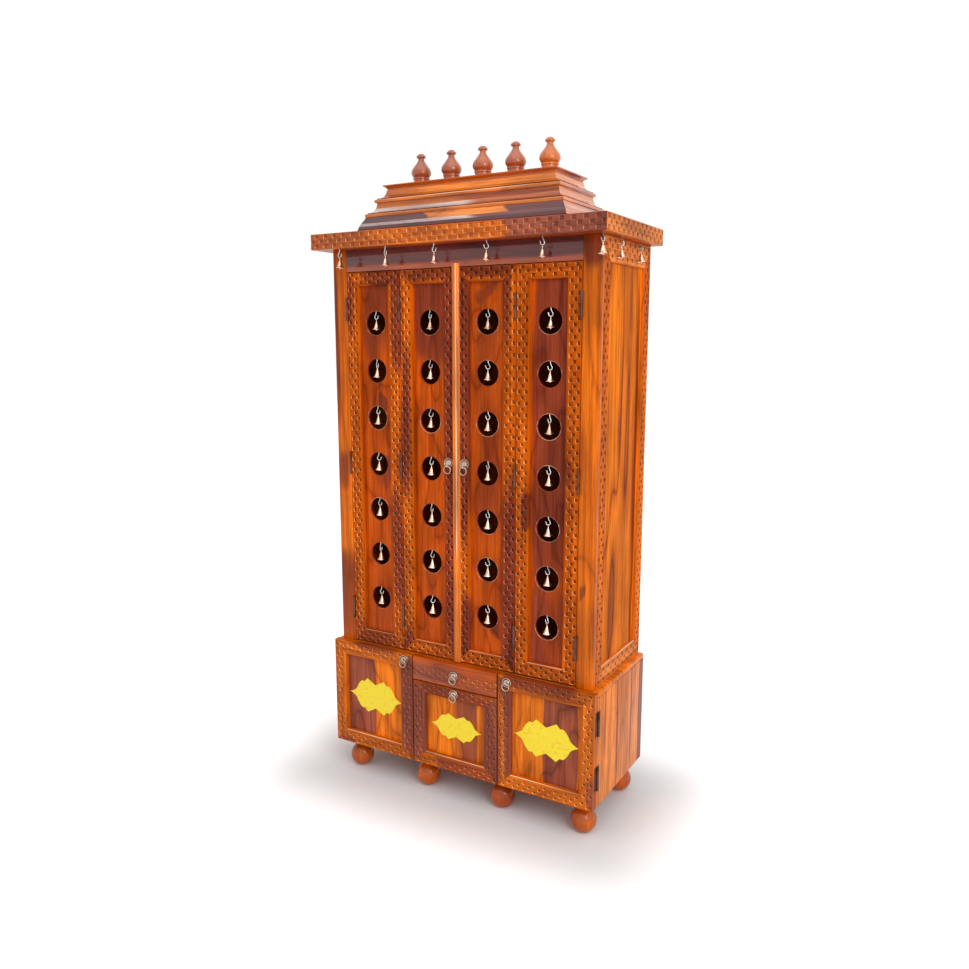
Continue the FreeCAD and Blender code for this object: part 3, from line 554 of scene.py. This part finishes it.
def carvedRail(name, length, width, thickness, cut, startInset, endInset, wood, pitShadeWood, edgeHighlightWood, phase=0.0,
               turn=0, ledge=False):
    # lies on the bench: x along, outer edge on y = 0, carved face up at z = 0
    xLines = [0, cut["pit"], cut["pitch"] / 2, cut["pitch"] / 2 + cut["pit"], cut["pitch"]]
    yLines = [0] + [cut["outer"] + k * cut["rowStep"] for k in range(cut["rows"] + 1)] + [width]
    bpy.ops.mesh.primitive_grid_add(x_subdivisions=4, y_subdivisions=len(yLines) - 1, size=2,
                                    location=(1, 1, 0))
    rail = lastMade(wood, pitShadeWood, edgeHighlightWood, ledgeHighlightWood)
    openMesh(rail)
    for axis, places in ((0, xLines), (1, yLines)):
        for k, place in enumerate(places[1:], start=1):
            here = k * 2 / (len(places) - 1)
            pickVerts(rail, lambda co: near(co[axis], here, 0.01))
            bpy.ops.transform.translate(value=[place - here if side == axis else 0 for side in range(3)])
    pits = [((xLines[2 * (r % 2)] + xLines[2 * (r % 2) + 1]) / 2, cut["outer"] + (r + 0.5) * cut["rowStep"])
            for r in range(cut["rows"])]

    def inPit(co, normal):
        return any(near(co.x, x, 2e-4) and near(co.y, y, 2e-4) for x, y in pits)

    pickFaces(rail, inPit)
    bpy.ops.mesh.inset(thickness=cut["rim"], depth=0, use_individual=True)
    bpy.ops.mesh.bevel(affect="VERTICES", offset=cut["corner"], segments=2)
    pickFaces(rail, inPit)
    bpy.ops.mesh.inset(thickness=lip, depth=-lip, use_individual=True)
    bpy.ops.mesh.inset(thickness=cut["wall"], depth=lip - cut["depth"], use_individual=True)
    # the floors of the cuts are painted darker: a painted shade
    paintPicked(rail, 1)
    # the walls that look right and up once the rail is turned into its place are painted pale, a painted
    # highlight; the other walls are painted darker, a painted shade
    toRight = Vector((math.cos(math.radians(turn)), -math.sin(math.radians(turn)), 0))
    toTop = Vector((math.sin(math.radians(turn)), math.cos(math.radians(turn)), 0))

    def onWall(co, normal):
        return co.z < -1.5 * lip and normal.z < 0.8

    paintFaces(rail, 1, onWall)
    paintFaces(rail, 2, lambda co, normal: onWall(co, normal)
               and max(normal.dot(toRight), normal.dot(toTop)) > 0.6)
    closeMesh()
    # repeat the cut along the rail, close the back and trim the ends
    bpy.ops.object.modifier_add(type="ARRAY")
    rows = rail.modifiers[-1]
    rows.count = math.ceil(length / cut["pitch"]) + 2
    rows.use_relative_offset = False
    rows.use_constant_offset = True
    rows.constant_offset_displace = (cut["pitch"], 0, 0)
    rows.use_merge_vertices = True
    rows.merge_threshold = 1e-5
    bpy.ops.object.modifier_apply(modifier=rows.name)
    rail.location.x = -cut["pitch"] * (0.6 + phase)
    settle(rail)
    openMesh(rail)
    bpy.ops.mesh.select_mode(type="EDGE")
    bpy.ops.mesh.select_all(action="DESELECT")
    bpy.ops.mesh.select_non_manifold(extend=False, use_wire=False, use_boundary=True, use_multi_face=False,
                                     use_non_contiguous=False, use_verts=False)
    bpy.ops.mesh.extrude_edges_move(TRANSFORM_OT_translate={"value": (0, 0, -thickness)})
    bpy.ops.mesh.edge_face_add()
    pickEdges(rail, lambda a, b: near(a.z, 0) and near(b.z, 0) and near(a.y, b.y)
              and (near(a.y, 0) or near(a.y, width)))
    bpy.ops.mesh.bevel(offset=cut["round"], segments=2)
    if ledge:
        # the inner edge of a bottom rail, painted pale as a painted highlight
        paintFaces(rail, 3, lambda co, normal: near(co.y, width, cut["round"])
                   and normal.y > 0.2 and normal.z > 0.2)
    for spot, way in (((mitreGap, 0, 0), (-width, startInset, 0)),
                      ((length - mitreGap, 0, 0), (width, endInset, 0))):
        pickAll()
        bpy.ops.mesh.bisect(plane_co=spot, plane_no=Vector(way).normalized(), use_fill=True, clear_outer=True)
    closeOutward()
    rail.name = name
    return rail


# four mitred rails round a window, flat on the bench with the lower left corner at 0, 0
# widths, cuts and phases go round from the bottom rail over the right stile
def carvedFrame(name, size, widths, cuts, stileLooks, railLooks, phases=(0, 0.3, 0.15, 0)):
    width, height = size["width"], size["height"]
    rails = []
    for k, corner in enumerate(((0, 0, 0), (width, 0, 0), (width, height, 0), (0, height, 0))):
        length, looks = (height, stileLooks) if k % 2 else (width, railLooks)
        rail = carvedRail("rail%d" % k, length, widths[k], size["thickness"], cuts[k], widths[k - 1],
                          widths[(k + 1) % 4], *looks, phase=phases[k], turn=90 * k, ledge=k == 0)
        rail.rotation_euler = (0, 0, math.radians(90 * k))
        rail.location = corner
        settle(rail)
        rails.append(rail)
    return joinUp(name, rails)


# from the bench to the cabinet: the carved face looks to -Y, or is turned by facing degrees
def standUp(obj, spot, facing=0):
    obj.rotation_euler = (math.radians(90), 0, math.radians(facing))
    obj.location = spot
    settle(obj)
    smooth(obj, 32)


leafSet = {"width": 0.206, "height": 1.239, "thickness": 0.020, "frame": 0.044,
           "left": [-0.415, -0.207, 0.001, 0.209], "face": -0.163, "foot": 0.484}
leafFrame = carvedFrame("leafFrame", leafSet, [leafSet["frame"]] * 4, [leafCarving] * 4, leafStiles,
                        leafRails)
standUp(leafFrame, (0, leafSet["face"], leafSet["foot"]))
for number, left in enumerate(leafSet["left"], start=1):
    piece = copyOf(leafFrame, "leafFrame%d" % number, (left, 0, 0))
    fitOut(piece, "cabinet", "carved_wood", "leaf_%d_frame" % number)
bpy.data.objects.remove(leafFrame)
print("leaf frames carved")

doorSet = {"width": 0.3265, "height": 0.370, "thickness": 0.024, "frame": 0.046, "face": -0.188,
           "foot": 0.108, "left": {"left": -0.490, "right": 0.1635}}
doorFrame = carvedFrame("doorFrame", doorSet, [doorSet["frame"]] * 4, [baseCarving] * 4, baseStiles,
                        baseRails)
standUp(doorFrame, (0, doorSet["face"], doorSet["foot"]))
for side, left in doorSet["left"].items():
    piece = copyOf(doorFrame, side + "DoorFrame", (left, 0, 0))
    fitOut(piece, side + "_door", "carved_wood", side + "_door_frame")
bpy.data.objects.remove(doorFrame)

deepSet = {"width": 0.317, "height": 0.2865, "thickness": doorSet["thickness"], "top": 0.036, "frame": 0.046,
           "left": -0.1585}
topCarving = dict(baseCarving, rowStep=0.0094, outer=0.0016)
border = deepSet["frame"]
deepFrame = carvedFrame("deepFrame", deepSet, (border, border, deepSet["top"], border),
                        [topCarving, baseCarving] * 2, baseStiles, baseRails)
standUp(deepFrame, (deepSet["left"], doorSet["face"], doorSet["foot"]))
fitOut(deepFrame, "deep_drawer", "carved_wood", "deep_drawer_frame")

drawerCarving = dict(baseCarving, pitch=0.0330, pit=0.0108, rowStep=0.0106, outer=0.0187)
drawerSet = {"height": 0.0785, "foot": 0.3995}
drawerFront = carvedRail("drawerFront", deepSet["width"], drawerSet["height"], doorSet["thickness"],
                         drawerCarving, 0, 0, *drawerWoods)
standUp(drawerFront, (deepSet["left"], doorSet["face"], drawerSet["foot"]))
fitOut(drawerFront, "drawer", "carved_wood", "drawer_front")
print("base fronts carved")

sideSet = {"width": 0.368, "height": 1.315, "thickness": 0.020, "front": 0.045, "rear": 0.051, "top": 0.070,
           "bottom": 0.056, "foot": 0.478, "face": 0.472, "frontEnd": -0.143, "rearEnd": 0.225}
topCut = dict(sideCarving, rows=4, rowStep=0.0145, outer=0.0040)
lowCut = dict(sideCarving, rowStep=0.0150, outer=0.0040)
for name, left, right, x, y, facing in (
        ("rightSideFrame", sideSet["front"], sideSet["rear"], sideSet["face"], sideSet["frontEnd"], 90),
        ("leftSideFrame", sideSet["rear"], sideSet["front"], -sideSet["face"], sideSet["rearEnd"], -90)):
    piece = carvedFrame(name, sideSet, (sideSet["bottom"], right, sideSet["top"], left),
                        (lowCut, sideCarving, topCut, sideCarving), sideStiles, sideRails, (0, 0.2, 0.1, 0))
    standUp(piece, (x, y, sideSet["foot"]), facing)
    fitOut(piece, "cabinet", "carved_wood", "side_frames")
print("side frames carved")

corniceSet = {"halfX": 0.510, "halfY": 0.225, "low": 1.793, "height": 0.049, "edge": 0.014, "coreIn": 0.0138,
              "coreGap": 0.0002}


def corniceEdge(name, length, facing, spot, looks, phase):
    edge = carvedRail(name, length, corniceSet["height"], corniceSet["edge"], corniceCarving, 0, 0, *looks,
                      phase=phase)
    # mitre down the thickness at both ends
    openMesh(edge)
    for x, way in ((0, (-1, 0, -1)), (length, (1, 0, -1))):
        pickAll()
        bpy.ops.mesh.bisect(plane_co=(x, 0, 0), plane_no=Vector(way).normalized(), use_fill=True,
                            clear_outer=True)
    closeMesh()
    standUp(edge, spot, facing)
    return edge


halfX, halfY, low = corniceSet["halfX"], corniceSet["halfY"], corniceSet["low"]
front = corniceEdge("front", 2 * halfX, 0, (-halfX, -halfY, low), corniceFront, 0.0)
right = corniceEdge("right", 2 * halfY, 90, (halfX, -halfY, low), corniceSide, 0.2)
back = corniceEdge("back", 2 * halfX, 180, (halfX, halfY, low), corniceFront, 0.1)
left = corniceEdge("left", 2 * halfY, 270, (-halfX, halfY, low), corniceSide, 0.3)
corniceEdges = joinUp("corniceEdges", [front, right, back, left])
fitOut(corniceEdges, "cabinet", "carved_wood", "cornice_slab")


def boardAt(lowCorner, highCorner, bevel, steps=2):
    size = highCorner - lowCorner
    bpy.ops.mesh.primitive_cube_add(size=1, location=(lowCorner + highCorner) / 2)
    bpy.context.active_object.scale = size
    board = lastMade()
    bevelAll(board, bevel, steps)
    return board


def dressBoard(name, node, material, bevel=0.0015, steps=2, slot="plank_wood"):
    board = boardAt(*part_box(node), bevel, steps)
    board.name = name
    board.data.materials.append(material)
    smooth(board)
    fitOut(board, "cabinet", slot, node)


coreIn, coreGap = corniceSet["coreIn"], corniceSet["coreGap"]
core = boardAt(Vector((coreIn - halfX, coreIn - halfY, low + coreGap)),
               Vector((halfX - coreIn, halfY - coreIn, low + corniceSet["height"] - coreGap)), bevel=0.0005)
core.name = "corniceCore"
core.data.materials.append(corniceCoreWood)
fitOut(core, "cabinet", "carved_wood")

dressBoard("headerBoard", "header_board", headerWood, bevel=0.0008, slot="dark_wood")
dressBoard("baseTopBoard", "base_top", baseTopWood, bevel=0.004, steps=4)
dressBoard("baseRightBoard", "base_right_side", baseSideWood)
dressBoard("baseLeftBoard", "base_left_side", baseSideWood)
stileLow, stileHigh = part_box("front_stiles")
inner = 0.417  # where the leaves end
rightStile = boardAt(Vector((inner, stileLow.y, stileLow.z)), stileHigh, bevel=0.002, steps=3)
leftStile = boardAt(stileLow, Vector((-inner, stileHigh.y, stileHigh.z)), bevel=0.002, steps=3)
frontStiles = joinUp("frontStileBoards", [rightStile, leftStile])
frontStiles.data.materials.append(frontBoardWood)
smooth(frontStiles)
fitOut(frontStiles, "cabinet", "plank_wood", "front_stiles")
print("boards planed")


# lathe work: a disc is extruded up and resized from ring to ring; stations are radius, height in mm
def raiseRound(name, stations, sides, material):
    radius, height = stations[0]
    bpy.ops.mesh.primitive_circle_add(vertices=sides, radius=radius / 1000, fill_type="NGON",
                                      location=(0, 0, height / 1000))
    piece = lastMade(material)
    raiseProfile(piece, [(r, r, z) for r, z in stations])
    piece.name = name
    return piece


def raiseProfile(piece, stations):
    openMesh(piece)
    bpy.ops.mesh.select_mode(type="FACE")
    pickAll()
    wide, deep, height = stations[0]
    pullPicked()
    for newWide, newDeep, newHeight in stations[1:]:
        bpy.ops.transform.translate(value=(0, 0, (newHeight - height) / 1000))
        bpy.ops.transform.resize(value=(newWide / wide, newDeep / deep, 1),
                                 center_override=(0, 0, newHeight / 1000))
        wide, deep, height = newWide, newDeep, newHeight
        if (newWide, newDeep, newHeight) != stations[-1]:
            pullPicked()
    closeOutward()


kalash = {
    "pitch": 0.1155, "foot": 1.994, "sides": 32,
    "profile": [(24, 0), (26, 1), (26.4, 4), (26, 8), (24.6, 9), (24.6, 25), (26.6, 26), (27.2, 28.5),
                (26.6, 31), (25.2, 32), (27.6, 34.5), (30.4, 38.5), (32, 43), (32.4, 47.5), (31.6, 52.5),
                (29.2, 58), (25.2, 64), (20.4, 70), (16, 76), (12.4, 81), (10.2, 85.5), (9.6, 89),
                (9.8, 91.4), (13.6, 92.4), (15, 94), (15.2, 97), (14.4, 99.6), (11.6, 101), (10.4, 103),
                (8, 105), (4, 105.9), (0.4, 106)],
}
finial = raiseRound("finial", kalash["profile"], kalash["sides"], kalashWood)
smooth(finial, 40)
finials = [copyOf(finial, "finial%d" % k, ((k - 2) * kalash["pitch"], 0, kalash["foot"])) for k in range(5)]
bpy.data.objects.remove(finial)
finialRow = joinUp("kalashRow", finials)
fitOut(finialRow, "cabinet", "turned_wood", "kalash_finials")

ballFoot = {
    "x": (-0.433, -0.145, 0.145, 0.433), "y": (-0.120, 0.175), "sides": 40,
    "profile": [(13, 0), (15, 0.4), (19, 1.9), (24.5, 5), (30, 10), (35, 16.5), (38.8, 24), (40.7, 32),
                (41, 38.2), (40.4, 45), (38.4, 52.5), (35, 60), (30.4, 67), (25, 72.6), (19.6, 76.4),
                (18.6, 77.6), (19.6, 79), (23, 80.4), (25.4, 83), (25.8, 87), (24.6, 90.5), (21.4, 92.6),
                (20.8, 94), (20.8, 96), (23, 97.5), (24, 99), (24, 108)],
}
foot = raiseRound("foot", ballFoot["profile"], ballFoot["sides"], footWood)
smooth(foot, 40)
feet = [copyOf(foot, "foot%d%d" % (i, j), (x, y, 0))
        for i, x in enumerate(ballFoot["x"]) for j, y in enumerate(ballFoot["y"])]
bpy.data.objects.remove(foot)
feetRow = joinUp("ballFeet", feet)
fitOut(feetRow, "cabinet", "turned_wood", "ball_feet")
print("finials and feet turned")


# profile: inset from the widest edge and height above low, in mm
def moulding(name, node, halfWide, halfDeep, low, profile, material, nose=None, sheen=None):
    inset, height = profile[0]
    bpy.ops.mesh.primitive_plane_add(size=2, location=(0, 0, (low + height) / 1000))
    bpy.context.active_object.scale = ((halfWide - inset) / 1000, (halfDeep - inset) / 1000, 1)
    piece = lastMade(material)
    raiseProfile(piece, [(halfWide - i, halfDeep - i, low + h) for i, h in profile])
    piece.name = name
    if nose:
        for wood in (roofLedgeHighlightWood, roofGrooveShadeWood, roofSideWoodAndReflection):
            piece.data.materials.append(wood)
        if sheen:
            piece.data.materials.append(sheen[2])
        openMesh(piece)
        # the fibres turn with the moulding at the corners, and the ends are painted paler as a painted
        # reflection
        paintFaces(piece, 3, lambda co, normal: abs(normal.x) > max(0.02, abs(normal.y)))
        for slot, start, stop in ((1, *nose[0]), (2, *nose[1])):
            paintFaces(piece, slot, lambda co, normal: start < co.z * 1000 - low < stop and normal.z > -0.3)
        if sheen:
            paintFaces(piece, 4, lambda co, normal: sheen[0] < co.z * 1000 - low < sheen[1]
                       and -normal.y > abs(normal.x))
        closeMesh()
    smooth(piece, 28)
    fitOut(piece, "cabinet", "roof_wood", node)


def tierProfile(height):
    nose = [(4, 0), (1.6, 0.7), (0.4, 2.2), (0, 4.4), (0, 7), (0.5, 9), (1.8, 10.4), (3.8, 11), (5.6, 11.1),
            (6, 11.6), (6, 13.6), (6.6, 14.2)]
    startIn, startUp = nose[-1]
    endIn, steps = 28, 8
    hollow = []
    for k in range(1, steps + 1):
        turn = math.radians(90 * k / steps)
        hollow.append((startIn + (endIn - startIn) * math.sin(turn) ** 0.92,
                       startUp + (height - startUp) * (1 - math.cos(turn)) ** 0.98))
    return nose + hollow


# each part of the roof: half width, half depth and foot, in mm
roofSet = {
    "skirt": (368, 170, 1842), "lower": (348, 149, 1892), "upper": (326, 127, 1938), "top": (306, 108, 1978),
    "skirtProfile": [(0, 0), (0, 4.5), (0.6, 6), (2.4, 6.6), (3, 7.4), (3.4, 11), (5, 17), (6.6, 21),
                     (8.8, 26), (11, 30.3), (12, 32), (16.5, 39), (19.5, 44.5), (21, 48), (22, 50)],
    "topProfile": [(11, 0), (10.6, 3), (9.2, 6), (6.4, 8.8), (3, 10.8), (0.8, 11.6), (0, 12.8), (0, 14.8),
                   (0.5, 15.7), (1.6, 16)],
    "lowerTop": 46, "upperTop": 40,
    # heights over which the painted highlight on the edge, the painted shade in the groove over it and the
    # painted sheen run
    "skirtNose": ((5.2, 7.0), (7.1, 9.6)), "tierNose": ((9.4, 11.3), (11.4, 14.1)),
    "skirtSheen": (21, 30.3), "tierSheen": (14.3, 26.5),
}
moulding("roofSkirt", "roof_skirt", *roofSet["skirt"], roofSet["skirtProfile"], skirtWood,
         nose=roofSet["skirtNose"], sheen=(*roofSet["skirtSheen"], skirtSheenWood))
moulding("roofLowerTier", "roof_lower_tier", *roofSet["lower"], tierProfile(roofSet["lowerTop"]), roofWood,
         nose=roofSet["tierNose"], sheen=(*roofSet["tierSheen"], tierSheenWood))
moulding("roofUpperTier", "roof_upper_tier", *roofSet["upper"], tierProfile(roofSet["upperTop"]), roofWood,
         nose=roofSet["tierNose"])
moulding("roofTopBoard", "roof_top_board", *roofSet["top"], roofSet["topProfile"], roofTopWood)
print("roof mouldings run")


bellShape = {
    "sides": 20,
    "outside": [(1.4, 0), (1.8, -1.5), (1.8, -5.2), (3, -6.8), (4.4, -10), (5.7, -14.5), (7.3, -19),
                (9.3, -23.2), (11.7, -26.2), (13.4, -28.2), (13.7, -29)],
    "inside": [(12.6, -28.6), (10.6, -26), (8.3, -22.6), (6.3, -18.6), (4.5, -14), (3, -10), (1, -8.6)],
    "hookDrop": 19.0, "bend": 6.2, "wire": 1.6,
    "clapper": 0.0030, "clapperDrop": 0.0300, "rod": 0.0007, "rodLength": 0.024, "rodDrop": 0.0165,
    "loop": 0.0030, "loopWire": 0.0009,
}


def makeBell():
    shape = bellShape
    bell = raiseRound("bell", [(0.4, 0)] + shape["outside"] + shape["inside"], shape["sides"], bellBrass)
    bpy.ops.mesh.primitive_uv_sphere_add(segments=12, ring_count=8, radius=shape["clapper"],
                                         location=(0, 0, -shape["clapperDrop"]))
    clapper = lastMade(bellBrass)
    bpy.ops.mesh.primitive_cylinder_add(vertices=8, radius=shape["rod"], depth=shape["rodLength"],
                                        location=(0, 0, -shape["rodDrop"]))
    rod = lastMade(bellBrass)
    bpy.ops.mesh.primitive_torus_add(major_segments=16, minor_segments=8, major_radius=shape["loop"],
                                     minor_radius=shape["loopWire"], location=(0, 0, shape["loop"]),
                                     rotation=(0, math.radians(90), 0))
    loop = lastMade(bellBrass)
    bell = joinUp("bell", [bell, clapper, rod, loop])
    smooth(bell, 50)
    return bell


# screw hook: the shank leans to the right going down, the bend runs under the bell's loop, open to the left
def makeHook():
    wire, bend = bellShape["wire"] / 1000, bellShape["bend"] / 1000
    drop = bellShape["hookDrop"] / 1000
    bpy.ops.mesh.primitive_circle_add(vertices=8, radius=wire, fill_type="NGON", location=(bend, 0, -drop))
    hook = lastMade(paleSteel)
    openMesh(hook)
    bpy.ops.mesh.select_mode(type="FACE")
    pickAll()
    bpy.ops.mesh.spin(steps=12, angle=math.radians(-180), center=(0, 0, -drop), axis=(0, 1, 0), dupli=False)
    tip = ((-0.0006, 0.0025), (-0.0012, 0.0025))
    shank = ((-0.0006, 0.003), (-0.0022, 0.004), (-0.0024, 0.0045), (-0.0010, drop - 0.0115))
    for side, steps in ((-1, tip), (1, shank)):
        pickFaces(hook, lambda co, normal: near(co.z, -drop, 1e-4) and co.x * side > 0
                  and abs(normal.z) > 0.9)
        for sideways, up in steps:
            pullPicked((sideways, 0, up))
    pickAll()
    bpy.ops.mesh.remove_doubles(threshold=1e-6)
    closeOutward()
    smooth(hook, 60)
    return hook


bell = makeBell()
hook = makeHook()
holeRise = 0.03775  # from the middle of a hole to the seat of its hook
crownDrop = 0.0286  # from there to the crown of the bell
holeSet = {"x": (-0.312, -0.104, 0.104, 0.312), "lowest": 0.6454, "pitch": 0.1527, "rows": 7, "y": -0.147}
eaveSet = {"start": -0.413, "pitch": 0.1806, "count": 6, "y": -0.200, "sideX": (-0.490, 0.490),
           "sideY": (-0.065, 0.092)}
leafSpots = [(x, holeSet["y"], holeSet["lowest"] + holeSet["pitch"] * k + holeRise)
             for x in holeSet["x"] for k in range(holeSet["rows"])]
eaveSpots = [(eaveSet["start"] + eaveSet["pitch"] * k, eaveSet["y"], low) for k in range(eaveSet["count"])]
eaveSpots += [(x, y, low) for x in eaveSet["sideX"] for y in eaveSet["sideY"]]
for name, spots, node in (("leafBell", leafSpots, "leaf_bells"), ("eaveBell", eaveSpots, "eave_bells")):
    turns = [(180 if x < 0 else 0) + 24 * math.sin(4.7 * k) for k, (x, y, z) in enumerate(spots)]
    hooks = [copyOf(hook, "hook%d" % k, spot, turns[k]) for k, spot in enumerate(spots)]
    bells = [copyOf(bell, "bell%d" % k, (x, y, z - crownDrop), turns[k]) for k, (x, y, z) in enumerate(spots)]
    fitOut(joinUp(name + "Hooks", hooks), "cabinet", "bell_brass", node)
    fitOut(joinUp(name + "Row", bells), "cabinet", "bell_brass", node)
bpy.data.objects.remove(bell)
bpy.data.objects.remove(hook)
print("bells hung")

holeEdge = {"radius": 0.0393, "wire": 0.0008, "face": -0.151}
edges = []
for k, (x, y, z) in enumerate(leafSpots):
    bpy.ops.mesh.primitive_torus_add(major_segments=48, minor_segments=6, major_radius=holeEdge["radius"],
                                     minor_radius=holeEdge["wire"],
                                     location=(x, holeEdge["face"], z - holeRise),
                                     rotation=(math.radians(90), 0, 0))
    edges.append(lastMade(holeEdgeHighlightWood))
holeEdges = joinUp("holeEdges", edges)
smooth(holeEdges, 60)
fitOut(holeEdges, "cabinet", "carved_wood")
print("hole edges rounded")


# turned caps on the rosettes of the pulls: a rim, a dark groove and a low dome round the post
rosetteSet = {
    "profile": [(15.6, 0), (16.2, 1), (16, 2.2), (15.2, 3.2), (14.2, 3.5), (13.2, 3.1), (12.8, 2.7),
                (10.6, 2.7), (10.2, 3.4), (9.6, 4.5), (8.4, 5.2), (6.8, 5.6), (4.6, 5.7)],
    "groove": (10.3, 12.9), "sides": 36,
}
pullSpots = {
    "cabinet": [(-0.029, leafSet["face"], 1.128), (0.029, leafSet["face"], 1.128)],
    "left_door": [(-0.1955, doorSet["face"], 0.458)], "right_door": [(0.1955, doorSet["face"], 0.458)],
    "drawer": [(0, doorSet["face"], 0.43875)], "deep_drawer": [(0, doorSet["face"], 0.3765)],
}
rosette = raiseRound("rosette", rosetteSet["profile"], rosetteSet["sides"], nickel)
rosette.data.materials.append(darkNickel)
openMesh(rosette)
grooveIn, grooveOut = rosetteSet["groove"]
paintFaces(rosette, 1, lambda co, normal: grooveIn < math.hypot(co.x, co.y) * 1000 < grooveOut and co.z > 0)
closeMesh()
standUp(rosette, (0, 0, 0))
for body, spots in pullSpots.items():
    caps = [copyOf(rosette, "%sCap%d" % (body, k), spot) for k, spot in enumerate(spots)]
    fitOut(joinUp(body + "Rosettes", caps), body, "pull_metal")
bpy.data.objects.remove(rosette)


# the solids that stay get their looks
looks = {
    "meeting_strip": stripWoodAndHighlight, "side_panels": sidePanelWood,
    "leaf_1_panel": leafPanelWood, "leaf_2_panel": leafPanelWood, "leaf_3_panel": leafPanelWood,
    "leaf_4_panel": leafPanelWood, "left_door_panel": basePanelWood, "right_door_panel": basePanelWood,
    "deep_drawer_panel": basePanelWood, "left_door_plate": goldPlate, "right_door_plate": goldPlate,
    "deep_drawer_plate": goldPlate, "base_back": baseInsideWood, "base_bottom": baseInsideWood,
    "base_dividers": baseInsideWood,
}
for name, node in nodes.items():
    material = looks.get(name)
    if material is None:
        if name.endswith("_boss") or name.endswith("_ring") or name == "leaf_bosses":
            material = nickel
        elif "hinge" in name:
            material = hingeIron
        elif name.endswith("bells"):
            material = bellBrass
        elif name.endswith("_back"):
            material = backWood
        elif "drawer" in name:
            material = boxWood
        else:
            material = shadedInsideWood
    node.data.materials.clear()
    node.data.materials.append(material)
print("solids dressed")


floorSet = {"size": 30, "tone": 0.84, "footprint": (0.49, 0.2), "fade": 0.4, "glow": 0.55}


def stageMaterial():
    material, tree, surface, place = newMaterial("paleFloor")
    # what the camera sees goes to white over a forearm's length from the footprint, while the floor near the
    # cabinet stays grey: a painted shade round the footprint, on top of the real shadow
    away = vecCalc(tree, "SUBTRACT", vecCalc(tree, "ABSOLUTE", place), (*floorSet["footprint"], 0))
    away = vecCalc(tree, "MAXIMUM", away, (0, 0, 0))
    length = put(tree, "ShaderNodeVectorMath", {0: away}, operation="LENGTH")
    paths = put(tree, "ShaderNodeLightPath")
    seen = calc(tree, "MAXIMUM", paths.outputs["Is Camera Ray"], paths.outputs["Is Glossy Ray"])
    white = calc(tree, "MULTIPLY", stepUp(tree, length.outputs["Value"], 0.0, floorSet["fade"]),
                 floorSet["glow"])
    fill(tree, surface, {
        "Roughness": 0.9, "Specular IOR Level": 0.0, "Base Color": (*[floorSet["tone"]] * 3, 1),
        "Emission Color": (1, 1, 1, 1), "Emission Strength": calc(tree, "MULTIPLY", seen, white)})
    return material


bpy.ops.mesh.primitive_plane_add(size=floorSet["size"], location=(0, 0, 0))
floor = bpy.context.active_object
floor.name = "floor"
floor.data.materials.append(stageMaterial())

world = bpy.data.worlds.new("studio")
bpy.context.scene.world = world
world.use_nodes = True
tree = world.node_tree
background = tree.nodes["Background"]
background.inputs["Color"].default_value = (1, 1, 1, 1)
paths = put(tree, "ShaderNodeLightPath")
seen = calc(tree, "MAXIMUM", paths.outputs["Is Camera Ray"],
            calc(tree, "MAXIMUM", paths.outputs["Is Glossy Ray"], paths.outputs["Is Transmission Ray"]))
feed(tree, background.inputs["Strength"], scaled(tree, seen, 0.5, 0.5))


def softBox(name, spot, target, size, power):
    bpy.ops.object.light_add(type="AREA", location=spot)
    lamp = bpy.context.active_object
    lamp.name = name
    lamp.data.shape = "RECTANGLE"
    lamp.data.size, lamp.data.size_y = size
    lamp.data.energy = power
    lamp.rotation_euler = (Vector(target) - Vector(spot)).to_track_quat("-Z", "Y").to_euler()


lampSet = {"box": (3.4, -2.4, 2.6), "aim": (0, 0, 1.0), "boxSize": (2.0, 2.4), "boxPower": 60,
           "skyTurn": (math.radians(24), math.radians(14), 0), "skyPower": 0.9, "skySpread": math.radians(70)}
softBox("keyBox", lampSet["box"], lampSet["aim"], lampSet["boxSize"], lampSet["boxPower"])
bpy.ops.object.light_add(type="SUN", location=(0, 0, 5), rotation=lampSet["skyTurn"])
skyLamp = bpy.context.active_object
skyLamp.name = "skyLamp"
skyLamp.data.energy = lampSet["skyPower"]
skyLamp.data.angle = lampSet["skySpread"]

# fitted to the corners of the cabinet in the photo
cameraSet = {"spot": (1.4091, -2.4032, 1.4995), "turn": 0.5285, "tilt": -0.16391, "lens": 31.84, "sensor": 36}
bpy.ops.object.camera_add(location=cameraSet["spot"],
                          rotation=(math.pi / 2 + cameraSet["tilt"], 0, cameraSet["turn"]))
camera = bpy.context.active_object
camera.data.lens = cameraSet["lens"]
camera.data.sensor_width = cameraSet["sensor"]
camera.data.clip_start = 0.01
bpy.context.scene.camera = camera
bpy.context.scene.view_settings.view_transform = "Standard"
